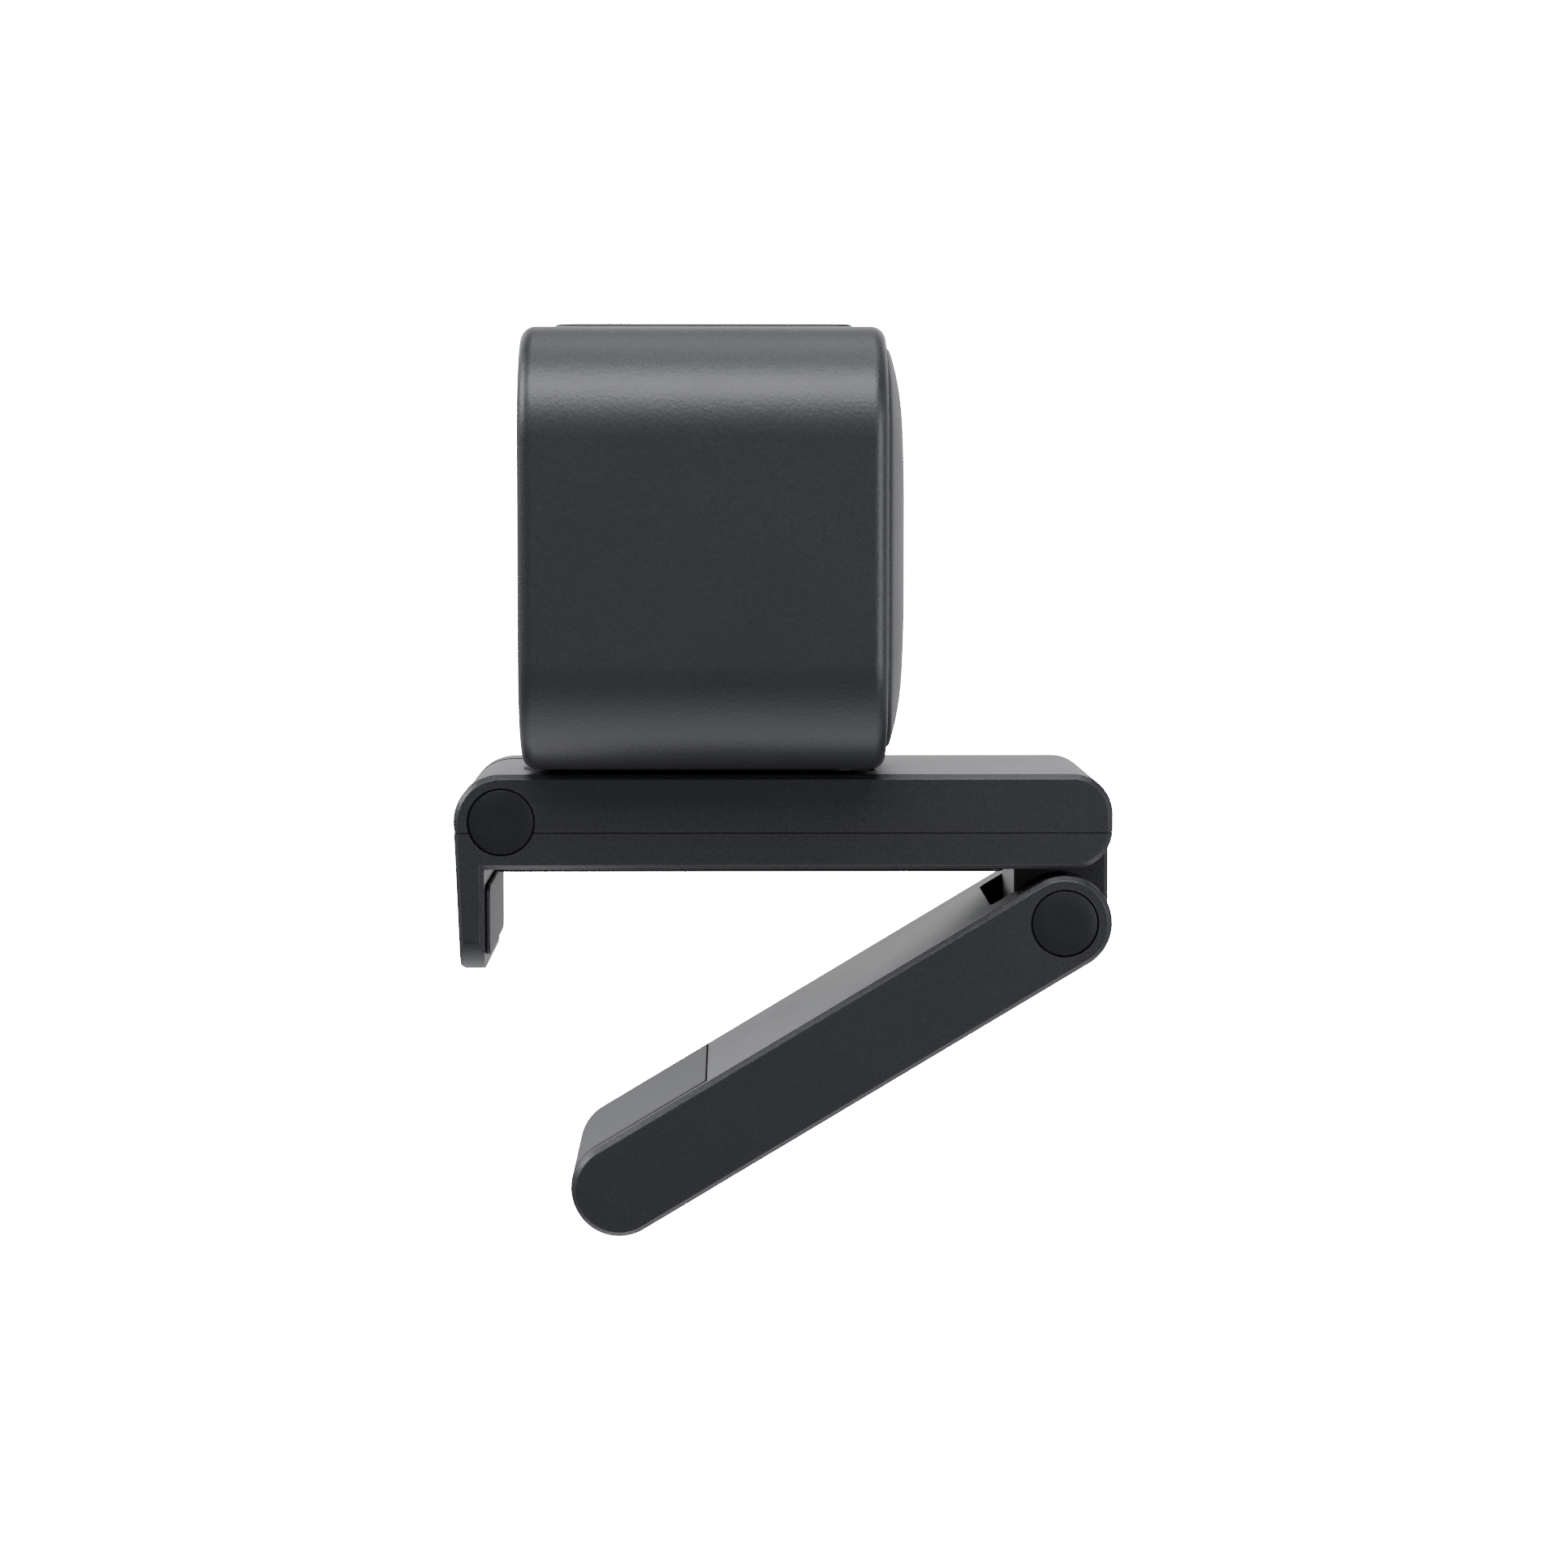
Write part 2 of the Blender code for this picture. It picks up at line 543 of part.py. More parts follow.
def make_front():
    """Bezel with its posts, trim ring, window, microphones and status light."""
    face = head_outline(HEAD_WALL + FIT)
    bezel = prism("front_bezel", face, BEZEL_FACE_Y, BEZEL_BACK_Y, "Y", "gloss_plastic", PAN, 0.3)
    for i, (x, z) in enumerate(post_places(), 1):
        post = circle(x, z, 2.3, 16)
        fuse(bezel, prism(f"post_{i}", post, BEZEL_BACK_Y - 1, CHASSIS_FRONT_Y - FIT, "Y", None, PAN))
        drill(bezel, x, z, 1.0, CHASSIS_FRONT_Y - 6.5, CHASSIS_FRONT_Y + 1, "Y", PAN, 12)
    ring = WINDOW_RADIUS + TRIM_RING_WIDTH
    seat = BEZEL_FACE_Y + 1.1
    drill(bezel, 0, HEAD_Z, ring + SNUG, BEZEL_FACE_Y - 1, seat, "Y", PAN, 40)
    drill(bezel, 0, HEAD_Z, WINDOW_RADIUS - 0.9, BEZEL_FACE_Y - 1, BEZEL_BACK_Y + 1, "Y", PAN, 40)
    disc("lens_trim_ring", 0, HEAD_Z, ring, BEZEL_FACE_Y - 0.7, seat - SNUG, "Y", "trim_metal", PAN,
         bore=WINDOW_RADIUS + SNUG, chamfer=0.25, steps=48)
    disc("lens_window", 0, HEAD_Z, WINDOW_RADIUS, BEZEL_FACE_Y, seat - SNUG, "Y", "window_glass", PAN,
         chamfer=0.1, steps=48)
    board_y = BEZEL_BACK_Y + 1.2
    microphone_x = HEAD_WIDTH / 2 - MICROPHONE_INSET
    for side, x in (("right", microphone_x), ("left", -microphone_x)):
        drill(bezel, x, LIGHT_Z, 0.5, BEZEL_FACE_Y - 1, BEZEL_BACK_Y + 1, "Y", PAN, 12)
        can = rectangle(x, LIGHT_Z, 1.75, 1.35)
        prism(f"microphone_{side}", can, board_y - 1.0, board_y - SNUG, "Y", "steel", PAN, 0.1)
    drill(bezel, 0, LIGHT_Z, 1.0 + SNUG, BEZEL_FACE_Y - 1, BEZEL_BACK_Y + 1, "Y", PAN, 16)
    disc("light_pipe", 0, LIGHT_Z, 1.0, BEZEL_FACE_Y, BEZEL_BACK_Y + 0.1, "Y", "clear_plastic", PAN,
         steps=16)
    prism("status_led", rectangle(0, LIGHT_Z, 0.8, 0.4), BEZEL_BACK_Y + 0.4, board_y - SNUG, "Y",
          "clear_plastic", PAN)
    board = rectangle(0, LIGHT_Z, microphone_x + 2.5, 2.5, 0.6, 3)
    prism("front_board", board, board_y, board_y + 0.8, "Y", "board", PAN)


def make_lens():
    rear = HOLDER_REAR_Y - 2.4
    front = BEZEL_BACK_Y + 0.2
    rings = [(front, circle(0, HEAD_Z, 7.0, 40)), (front + 4.0, circle(0, HEAD_Z, 7.0, 40)),
             (front + 4.0, circle(0, HEAD_Z, LENS_RADIUS, 40)), (rear, circle(0, HEAD_Z, LENS_RADIUS, 40))]
    barrel = solid("lens_barrel", rings, "Y", "cap_plastic", PAN)
    drill(barrel, 0, HEAD_Z, 4.2, front - 1, rear + 1, "Y", PAN)
    drill(barrel, 0, HEAD_Z, 5.5, front - 1, front + 2.5, "Y", PAN, 32)
    lens_disc("lens_front_element", front + 0.7, 5.4, 1.6, 0.5)
    lens_disc("lens_rear_element", rear - 2.2, 4.1, 1.4, 0.4)
    block = rectangle(0, HEAD_Z, 8.0, 8.0, 1.0, 3)
    holder = prism("lens_holder", block, HOLDER_FRONT_Y, HOLDER_REAR_Y, "Y", "cap_plastic", PAN)
    drill(holder, 0, HEAD_Z, LENS_RADIUS + SNUG, HOLDER_FRONT_Y - 1, rear + FIT, "Y", PAN, 40)
    cut(holder, rectangle(0, HEAD_Z, 4.5, 4.5), rear, HOLDER_REAR_Y + 1, "Y", PAN)


def lens_disc(name, front, radius, thickness, bulge):
    """A lens element whose front face is domed."""
    rings = [(front + bulge * share ** 2, circle(0, HEAD_Z, radius * share, 32))
             for share in (0.25, 0.5, 0.75, 1.0)]
    rings.append((front + thickness, circle(0, HEAD_Z, radius, 32)))
    solid(name, rings, "Y", "lens_glass", PAN)


def make_electronics():
    prism("image_sensor", rectangle(0, HEAD_Z, 3.5, 3.0), HOLDER_REAR_Y - 0.9, HOLDER_REAR_Y, "Y",
          "chip", PAN, 0.1)
    prism("sensor_board", rectangle(0, HEAD_Z, 11.0, 10.0, 1.0, 3), SENSOR_BOARD_Y,
          SENSOR_BOARD_Y + BOARD_THICKNESS, "Y", "board", PAN)
    half = HEAD_WIDTH / 2 - 3.0
    frame = between(-half, half, HEAD_BOTTOM + 6.6, HEAD_TOP - 6.2, 4.0, 4)
    chassis = prism("chassis_frame", frame, CHASSIS_FRONT_Y, CHASSIS_REAR_Y, "Y", "aluminium", PAN)
    board_screws = [(-13.0, HEAD_Z + 10.0), (13.0, HEAD_Z + 10.0)]
    for i, (x, z) in enumerate(board_screws, 1):
        post = circle(x, z, 2.0, 16)
        fuse(chassis, prism(f"board_post_{i}", post, CHASSIS_REAR_Y - 1, MAIN_BOARD_Y - FIT, "Y",
                            None, PAN))
        drill(chassis, x, z, 0.85, CHASSIS_REAR_Y - 1, MAIN_BOARD_Y + 1, "Y", PAN, 12)
    for x, z in post_places():
        drill(chassis, x, z, 1.1, CHASSIS_FRONT_Y - 1, CHASSIS_REAR_Y + 1, "Y", PAN, 12)
    cable_slot = rectangle(0, HEAD_Z - 11.5, 6.0, 2.0, 1.0, 3)
    cut(chassis, cable_slot, CHASSIS_FRONT_Y - 1, CHASSIS_REAR_Y + 1, "Y", PAN)
    half = HEAD_WIDTH / 2 - 5.0
    outline = between(-half, half, HEAD_BOTTOM + 7.6, HEAD_TOP - 8.2, 1.5, 3)
    board = prism("main_board", outline, MAIN_BOARD_Y, MAIN_BOARD_Y + BOARD_THICKNESS, "Y", "board", PAN)
    for i, (x, z) in enumerate(board_screws, 1):
        drill(board, x, z, 0.9, MAIN_BOARD_Y - 1, MAIN_BOARD_Y + 2, "Y", PAN, 12)
        head = MAIN_BOARD_Y + BOARD_THICKNESS + 0.1
        screw(f"board_screw_{i}", x, z, head + 1.2, head, CHASSIS_REAR_Y - 0.6, "Y", "steel", PAN,
              shank_radius=0.7)
    for i, (x, z) in enumerate(post_places(), 1):
        screw(f"chassis_screw_{i}", x, z, CHASSIS_REAR_Y + 1.3, CHASSIS_REAR_Y + 0.1,
              CHASSIS_FRONT_Y - 5.5, "Y", "steel", PAN)
    prism("heat_pad", rectangle(0, HEAD_Z, 6.0, 6.0), CHASSIS_REAR_Y + SNUG, CHASSIS_REAR_Y + 1.3, "Y",
          "heat_pad", PAN)
    prism("processor", rectangle(0, HEAD_Z, 5.5, 5.5), CHASSIS_REAR_Y + 1.4, MAIN_BOARD_Y - SNUG, "Y",
          "chip", PAN, 0.15)
    make_usb_receptacle()


def make_usb_receptacle():
    front, rear = MAIN_BOARD_Y + BOARD_THICKNESS + SNUG, HEAD_REAR_Y - 0.3
    shell = prism("usb_receptacle", rectangle(0, USB_Z, 4.47, 1.63, 1.6, 6), front, rear, "Y", "steel", PAN)
    cut(shell, rectangle(0, USB_Z, 4.17, 1.28, 1.25, 6), front + 1.2, rear + 1, "Y", PAN)
    tongue = rectangle(0, USB_Z, 3.35, 0.35)
    fuse(shell, prism("usb_tongue", tongue, front + 0.6, rear - 0.9, "Y", None, PAN))


# Leg, drawn folded flat under the arm and turned open by its pivot

def leg_outline():
    return (arc(LEG_PIN_Y - LEG_LENGTH, LEG_PIN_Z, ARM_RADIUS, 90, 270, 24)
            + arc(LEG_PIN_Y, LEG_PIN_Z, ARM_RADIUS, -90, 90, 24))


def sleeve_outline(outer, inner, top_end, bottom_end):
    """A band along the underside, round the tip and back along the top, between two radii."""
    tip = LEG_PIN_Y - LEG_LENGTH
    return ([(top_end, LEG_PIN_Z + outer)] + arc(tip, LEG_PIN_Z, outer, 90, 270, 20)
            + [(bottom_end, LEG_PIN_Z - outer), (bottom_end, LEG_PIN_Z - inner)]
            + arc(tip, LEG_PIN_Z, inner, 270, 90, 20) + [(top_end, LEG_PIN_Z + inner)])


def make_leg():
    top_end = LEG_PIN_Y - SLEEVE_END
    bottom_end = LEG_PIN_Y - SLEEVE_START
    insert_y = LEG_PIN_Y - LEG_LENGTH * 0.55
    underside = LEG_PIN_Z - ARM_RADIUS
    leg = prism("leg_frame", leg_outline(), -ARM_HALF, ARM_HALF, "X", "shell_plastic", LEG, EDGE_CHAMFER)
    cut(leg, between(-SLOT_HALF, SLOT_HALF, LEG_PIN_Y - SLOT_END, FAR), -FAR, FAR, "Z", LEG)
    inner = ARM_RADIUS - SLEEVE_THICKNESS
    recess = sleeve_outline(ARM_RADIUS + 2, inner, top_end + FIT / 2, bottom_end + FIT / 2)
    groove = SLEEVE_HALF + FIT
    cut(leg, recess, -groove, groove, "X", LEG)
    hinge_bore(leg, LEG_PIN_Y, LEG_PIN_Z, LEG)
    drill(leg, 0, insert_y, 4.2 + SNUG, underside - 1, underside + 6.8, "Z", LEG)
    band = sleeve_outline(ARM_RADIUS + SLEEVE_PROUD, inner + PAD_GAP, top_end, bottom_end)
    sleeve = prism("leg_sleeve", band, -SLEEVE_HALF, SLEEVE_HALF, "X", "pad_rubber", LEG, 0.15)
    drill(sleeve, 0, insert_y, 6.2, underside - 2, underside + 3, "Z", LEG, 32)
    flange = underside + SLEEVE_THICKNESS - SNUG
    rings = [(underside + SNUG, circle(0, insert_y, 5.8, 32)), (flange, circle(0, insert_y, 5.8, 32)),
             (flange, circle(0, insert_y, 4.2, 32)), (underside + 6.5, circle(0, insert_y, 4.2, 32))]
    insert = solid("tripod_insert", rings, "Z", "brass", LEG)
    drill(insert, 0, insert_y, 3.17, underside - 1, underside + 5.8, "Z", LEG)
    hinge_pin("leg_pin", LEG_PIN_Y, LEG_PIN_Z, LEG)
    hinge_caps("leg", LEG_PIN_Y, LEG_PIN_Z, LEG)


def main():
    clear_scene()
    pivot(ARM, (0, 0, 0))
    pivot(TILT, (0, FRONT_PIN_Y, FRONT_PIN_Z), ARM)
    pivot(PAN, (0, HEAD_Y, HEAD_BOTTOM), TILT)
    pivot(LEG, (0, LEG_PIN_Y, LEG_PIN_Z), ARM, LEG_REST_ANGLE)
    make_arm_fittings()
    make_tilt_bracket()
    make_swivel()
    make_head_housing()
    make_rear_cover()
    make_front()
    make_lens()
    make_electronics()
    make_leg()


main()
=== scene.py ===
"""Compact webcam on a fold-out monitor clip: its finished surfaces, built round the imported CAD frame.

Outlines and sizes are in millimetres. loft() turns them to metres in one place.
"""

import json
import math

import bmesh
import bpy
from bpy.props import FloatProperty, FloatVectorProperty, IntProperty, PointerProperty
from bpy.types import Operator, Panel, PropertyGroup
from mathutils import Matrix, Vector


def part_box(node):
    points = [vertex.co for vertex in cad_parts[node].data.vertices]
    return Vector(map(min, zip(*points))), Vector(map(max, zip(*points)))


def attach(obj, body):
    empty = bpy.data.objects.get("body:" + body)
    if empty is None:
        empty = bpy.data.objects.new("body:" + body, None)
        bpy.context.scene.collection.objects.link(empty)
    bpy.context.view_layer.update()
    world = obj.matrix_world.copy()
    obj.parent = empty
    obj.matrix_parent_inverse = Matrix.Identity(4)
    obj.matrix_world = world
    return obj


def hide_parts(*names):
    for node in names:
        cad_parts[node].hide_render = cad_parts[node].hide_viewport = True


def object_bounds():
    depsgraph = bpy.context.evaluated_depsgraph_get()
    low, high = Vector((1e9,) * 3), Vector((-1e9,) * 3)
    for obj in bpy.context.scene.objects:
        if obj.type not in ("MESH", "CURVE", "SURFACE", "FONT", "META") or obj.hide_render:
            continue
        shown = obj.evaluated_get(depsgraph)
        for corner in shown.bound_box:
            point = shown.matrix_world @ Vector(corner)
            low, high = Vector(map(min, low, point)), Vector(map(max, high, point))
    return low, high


bl_info = {
    "name": "Monitor Clip Webcam",
    "version": (1, 0, 0),
    "blender": (4, 5, 0),
    "location": "View3D > Sidebar > Webcam",
    "description": "Builds a compact webcam on a fold-out monitor clip",
    "category": "Add Mesh",
}

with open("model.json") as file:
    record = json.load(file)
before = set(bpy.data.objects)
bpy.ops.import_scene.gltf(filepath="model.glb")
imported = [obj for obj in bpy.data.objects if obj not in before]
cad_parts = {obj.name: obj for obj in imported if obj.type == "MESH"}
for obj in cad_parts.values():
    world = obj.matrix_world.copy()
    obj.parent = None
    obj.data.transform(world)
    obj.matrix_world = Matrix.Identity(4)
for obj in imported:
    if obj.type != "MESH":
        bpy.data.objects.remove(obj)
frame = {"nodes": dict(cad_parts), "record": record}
CAD_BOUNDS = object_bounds()
MM = 0.001


def linear(code):
    """An sRGB hex colour as linear red, green and blue."""
    channels = [int(code[i:i + 2], 16) / 255 for i in (0, 2, 4)]
    return tuple(c / 12.92 if c <= 0.04045 else ((c + 0.055) / 1.055) ** 2.4 for c in channels)


# What the user can change

class WEBCAM_PG_sizes(PropertyGroup):
    """Sizes of edges, gaps and surface grain, in metres."""
    head_fillet: FloatProperty(name="Head fillet", description="Radius of the head's front and rear edges",
                               default=1.45 * MM, unit="LENGTH")
    head_corner: FloatProperty(name="Head corner", description="Radius of the head's four long corners",
                               default=11.0 * MM, unit="LENGTH")
    arm_chamfer: FloatProperty(name="Arm chamfer", description="Chamfer along the clip's side edges",
                               default=0.45 * MM, unit="LENGTH")
    edge_round: FloatProperty(name="Edge round", description="Small round that softens a chamfer's corners",
                              default=0.08 * MM, unit="LENGTH")
    wall: FloatProperty(name="Wall", description="Thickness of the head housing's wall",
                        default=1.8 * MM, unit="LENGTH")
    fit: FloatProperty(name="Fit", description="Gap between the rear cover or bezel and the housing",
                       default=0.3 * MM, unit="LENGTH")
    grain: FloatProperty(name="Grain", description="Width of one grain of the moulded surface",
                         default=0.22 * MM, unit="LENGTH")
    baffle_rings: IntProperty(name="Baffle rings", description="Rings inside the lens hood", default=5, min=1)
    thread_turns: IntProperty(name="Thread turns", description="Turns of the tripod thread", default=5, min=1)


def colour_property(label, code):
    return FloatVectorProperty(name=label, description=f"Base colour of the {label.lower()}", subtype="COLOR",
                               size=3, min=0, max=1, default=linear(code))


class WEBCAM_PG_colours(PropertyGroup):
    """Base colours of the finishes."""
    shell: colour_property("Moulded shell", "16171A")
    cap: colour_property("Pin cap", "131416")
    rubber: colour_property("Rubber pad", "131417")
    gloss: colour_property("Polished bezel", "08080A")
    trim: colour_property("Lens ring", "4A4C50")
    steel: colour_property("Steel", "9EA0A3")
    brass: colour_property("Brass", "B8944E")
    board: colour_property("Circuit board", "16402A")


def sizes():
    return bpy.context.scene.webcam_sizes


def colours():
    return bpy.context.scene.webcam_colours


# Places, read from the frame, in millimetres

def span(node):
    low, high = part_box(node)
    return [c / MM for c in low], [c / MM for c in high]


def joint(name):
    return next(j for j in frame["record"]["behaviour"]["joints"] if j["name"] == name)


ARM_LOW, ARM_HIGH = span("arm_lower_shell")
ARM_TOP = span("arm_upper_shell")[1][2]
ARM_HALF = ARM_HIGH[0]
ARM_REAR = ARM_HIGH[1]
TILT_Y, TILT_Z = [c / MM for c in joint("camera_tilt")["pos_m"][1:]]
LEG_Y, LEG_Z = [c / MM for c in joint("leg_fold")["pos_m"][1:]]
LEG_TURN = -math.radians(joint("leg_fold")["range_deg"][0])
ARM_RADIUS = ARM_TOP - TILT_Z
ARM_BOTTOM = TILT_Z - ARM_RADIUS
PARTING = (span("arm_upper_shell")[0][2] + ARM_HIGH[2]) / 2
HEAD_LOW, HEAD_HIGH = span("head_housing")
HEAD_Y = (HEAD_LOW[1] + HEAD_HIGH[1]) / 2
HEAD_Z = (HEAD_LOW[2] + HEAD_HIGH[2]) / 2
SLOT_HALF = span("leg_washer_right")[1][0] + 0.1
CAP_LOW, CAP_HIGH = span("front_cap_right")
CAP_RADIUS = (CAP_HIGH[1] - CAP_LOW[1]) / 2
FAR = 200.0

# Sizes that the frame's boxes don't give, in millimetres
PIN_BORE = 1.6
POCKET_GAP = 0.12
ARM_CORNER = 4.0
ARM_WALL = 1.6
PARTING_GAP = 0.08
LIP_THICKNESS = 3.0
LIP_TAPER = 0.6
LIP_CORNER = 3.4
SEAT_HALF = 8.5
SEAT_FRONT_Y = -22.9
BRACKET_DEPTH = 5.2
PLATE_CORNER = 3.0
PLATE_GAP = 0.12
LEG_LENGTH = 51.7
LEG_SLOT_END = 5.44
SLEEVE_TOP_END = LEG_Y - 38.8
SLEEVE_BOTTOM_END = LEG_Y - 8.15
SLEEVE_THICKNESS = 0.93
SLEEVE_PROUD = 0.13
SLEEVE_HALF = 13.4
SLEEVE_SIDE_GAP = 0.12
SLEEVE_END_GAP = 0.15
SLEEVE_HOLE = 6.2
INSERT_Y = LEG_Y - LEG_LENGTH * 0.55
INSERT_BORE = 3.17
INSERT_BARREL = 4.2
INSERT_FLANGE = 5.8
INSERT_LENGTH = 6.5
INSERT_HOLE = 4.3
INSERT_HOLE_DEPTH = 6.8
HEAD_STUD_HOLE = 2.8
BRACKET_STUD_HOLE = 2.6
PORT_HALF_WIDTH = 6.3
PORT_HALF_HEIGHT = 3.4
PORT_CORNER = 3.3
BEZEL_DEPTH = 2.0
MICROPHONE_X = 11.0
MICROPHONE_HOLE = 0.5
LIGHT_HOLE = 1.08
BARREL_BORE = 4.2
BARREL_RADIUS = 6.0
HOOD_BORE = 5.5
HOOD_DEPTH = 2.5
HOOD_LENGTH = 4.0
RIB_RADIUS = 5.75
RIB_SPREAD = 1.05
RIB_WIRE = 0.06
LENS_BULGE = 1.1


# Outlines: closed lists of points, anticlockwise

def arc(cx, cz, radius, start, end, steps):
    angles = [math.radians(start + (end - start) * i / steps) for i in range(steps + 1)]
    return [(cx + radius * math.cos(a), cz + radius * math.sin(a)) for a in angles]


def circle(cx, cz, radius, steps=64):
    return arc(cx, cz, radius, 0, 360 - 360 / steps, steps - 1)


def rectangle(cx, cz, half_w, half_h, radius=0.0, steps=10):
    if radius <= 0:
        return [(cx - half_w, cz - half_h), (cx + half_w, cz - half_h),
                (cx + half_w, cz + half_h), (cx - half_w, cz + half_h)]
    points = []
    for turn, sx, sz in ((270, 1, -1), (0, 1, 1), (90, -1, 1), (180, -1, -1)):
        points += arc(cx + sx * (half_w - radius), cz + sz * (half_h - radius), radius, turn, turn + 90, steps)
    return points


def between(x0, x1, z0, z1, radius=0.0, steps=10):
    return rectangle((x0 + x1) / 2, (z0 + z1) / 2, (x1 - x0) / 2, (z1 - z0) / 2, radius, steps)


def inset(points, distance):
    """The outline moved inwards, each corner along its mitre."""
    moved = []
    for i, here in enumerate(points):
        before, after = points[i - 1], points[(i + 1) % len(points)]
        a = Vector((here[0] - before[0], here[1] - before[1])).normalized()
        b = Vector((after[0] - here[0], after[1] - here[1])).normalized()
        na, nb = Vector((-a.y, a.x)), Vector((-b.y, b.x))
        shift = (na + nb) * (distance / (1 + na.dot(nb)))
        moved.append((here[0] + shift.x, here[1] + shift.y))
    return moved


def scaled(points, cx, cz, factor):
    return [(cx + (x - cx) * factor, cz + (z - cz) * factor) for x, z in points]


# Solids

AXES = {"X": lambda u, v, w: (w, u, v), "Y": lambda u, v, w: (u, w, v), "Z": lambda u, v, w: (u, v, w)}


def link(name, data):
    made = bpy.data.objects.new(name, data)
    bpy.context.scene.collection.objects.link(made)
    return made


def loft(name, rings, axis, closed=False):
    """A closed solid through rings (position, outline) along an axis; closed joins last to first."""
    mesh = bmesh.new()
    loops = [[mesh.verts.new(Vector(AXES[axis](u, v, w)) * MM) for u, v in points] for w, points in rings]
    pairs = list(zip(loops, loops[1:]))
    if closed:
        pairs.append((loops[-1], loops[0]))
    for low, high in pairs:
        for i in range(len(low)):
            j = (i + 1) % len(low)
            mesh.faces.new((low[i], low[j], high[j], high[i]))
    if not closed:
        mesh.faces.new(loops[0])
        mesh.faces.new(loops[-1])
    bmesh.ops.recalc_face_normals(mesh, faces=mesh.faces)
    data = bpy.data.meshes.new(name)
    mesh.to_mesh(data)
    mesh.free()
    return link(name, data)


def chamfered(points, low, high, chamfer, soft):
    """Rings of a prism whose end edges have a chamfer with softened corners."""
    steps = [(0.0, chamfer + soft), (soft * 0.3, chamfer + soft * 0.25), (soft, chamfer - soft * 0.4),
             (chamfer - soft * 0.4, soft), (chamfer + soft * 0.25, soft * 0.3), (chamfer + soft, 0.0)]
    front = [(low + depth, inset(points, reduce)) for depth, reduce in steps]
    rear = [(high - depth, inset(points, reduce)) for depth, reduce in reversed(steps)]
    return front + rear


def rounded(outline, low, high, radius, steps=8):
    """Rings of a prism whose end edges are round; outline(reduce) gives the outline, reduced."""
    angles = [math.radians(90 * i / steps) for i in range(steps + 1)]
    front = [(low + radius * (1 - math.cos(a)), outline(radius * (1 - math.sin(a)))) for a in angles]
    rear = [(high - radius * (1 - math.cos(a)), outline(radius * (1 - math.sin(a)))) for a in reversed(angles)]
    return front + rear


def turned(name, profile, cx, cz, axis, steps=96):
    """A solid of revolution: profile is a closed list of (position, radius), radius above zero."""
    return loft(name, [(w, circle(cx, cz, radius, steps)) for w, radius in profile], axis, closed=True)


def domed(name, profile, cx, cz, axis, steps=64):
    """A solid of revolution that is capped at both ends."""
    return loft(name, [(w, circle(cx, cz, radius, steps)) for w, radius in profile], axis)


def carve(piece, tool, operation="DIFFERENCE"):
    """Cuts a tool away from a piece, or joins it, and removes the tool."""
    change = piece.modifiers.new(operation, "BOOLEAN")
    change.operation = operation
    change.solver = "EXACT"
    change.object = tool
    bake(piece)
    bpy.data.objects.remove(tool, do_unlink=True)
    if not piece.data.polygons:
        raise RuntimeError(f"{piece.name}: nothing is left after a cut")


def bake(piece):
    """The piece's evaluated shape becomes its mesh, and its modifiers go."""
    graph = bpy.context.evaluated_depsgraph_get()
    data = bpy.data.meshes.new_from_object(piece.evaluated_get(graph))
    piece.modifiers.clear()
    piece.data = data


def cut(piece, points, low, high, axis):
    carve(piece, loft("cutter", [(low, points), (high, points)], axis))


def drill(piece, u, v, radius, low, high, axis, steps=64):
    cut(piece, circle(u, v, radius, steps), low, high, axis)


def finish_piece(piece, material, body, nodes=(), turn=None, sharp=32):
    """Shading, place, material and the body that a piece rides on."""
    if turn is not None:
        piece.data.transform(turn)
    piece.data.materials.clear()
    piece.data.materials.append(material)
    piece.data.shade_smooth()
    piece.data.set_sharp_from_angle(angle=math.radians(sharp))
    weighting = piece.modifiers.new("normals", "WEIGHTED_NORMAL")
    weighting.keep_sharp = True
    bake(piece)
    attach(piece, body)
    if nodes:
        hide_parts(*nodes)
    return piece


# Materials

def add_node(tree, kind, settings=None, links=None):
    """A node with its settings and socket values; links maps a socket to the output that feeds it."""
    node = tree.nodes.new(kind)
    for key, value in (settings or {}).items():
        if hasattr(node, key):
            setattr(node, key, value)
        else:
            node.inputs[key].default_value = value
    for key, output in (links or {}).items():
        tree.links.new(output, node.inputs[key])
    return node


def begin(name, colour, values):
    """A material, its tree and its shader, with the numbers that are the same all over."""
    material = bpy.data.materials.new(name)
    material.use_nodes = True
    tree = material.node_tree
    shader = tree.nodes["Principled BSDF"]
    shader.inputs["Base Color"].default_value = (*colour, 1.0)
    for key, value in values.items():
        shader.inputs[key].default_value = value
    place = add_node(tree, "ShaderNodeTexCoord").outputs["Object"]
    return material, tree, shader, place


def tint(tree, shader, factor, colour, low, high):
    """The colour varies between two shares of itself."""
    ramp = add_node(tree, "ShaderNodeMix", {"data_type": "RGBA"}, {0: factor})
    ramp.inputs[6].default_value = (*[c * low for c in colour], 1.0)
    ramp.inputs[7].default_value = (*[min(1.0, c * high) for c in colour], 1.0)
    tree.links.new(ramp.outputs[2], shader.inputs["Base Color"])


def vary(tree, shader, socket, factor, low, high):
    """A shader number that varies with a texture."""
    span_node = add_node(tree, "ShaderNodeMapRange", {"To Min": low, "To Max": high}, {"Value": factor})
    tree.links.new(span_node.outputs["Result"], shader.inputs[socket])


def bump(tree, shader, height, depth_mm, strength=1.0):
    relief = add_node(tree, "ShaderNodeBump", {"Distance": depth_mm * MM, "Strength": strength},
                      {"Height": height})
    tree.links.new(relief.outputs["Normal"], shader.inputs["Normal"])


def per_metre(width_mm):
    """A texture's scale for one feature of that width."""
    return 1.0 / (width_mm * MM)


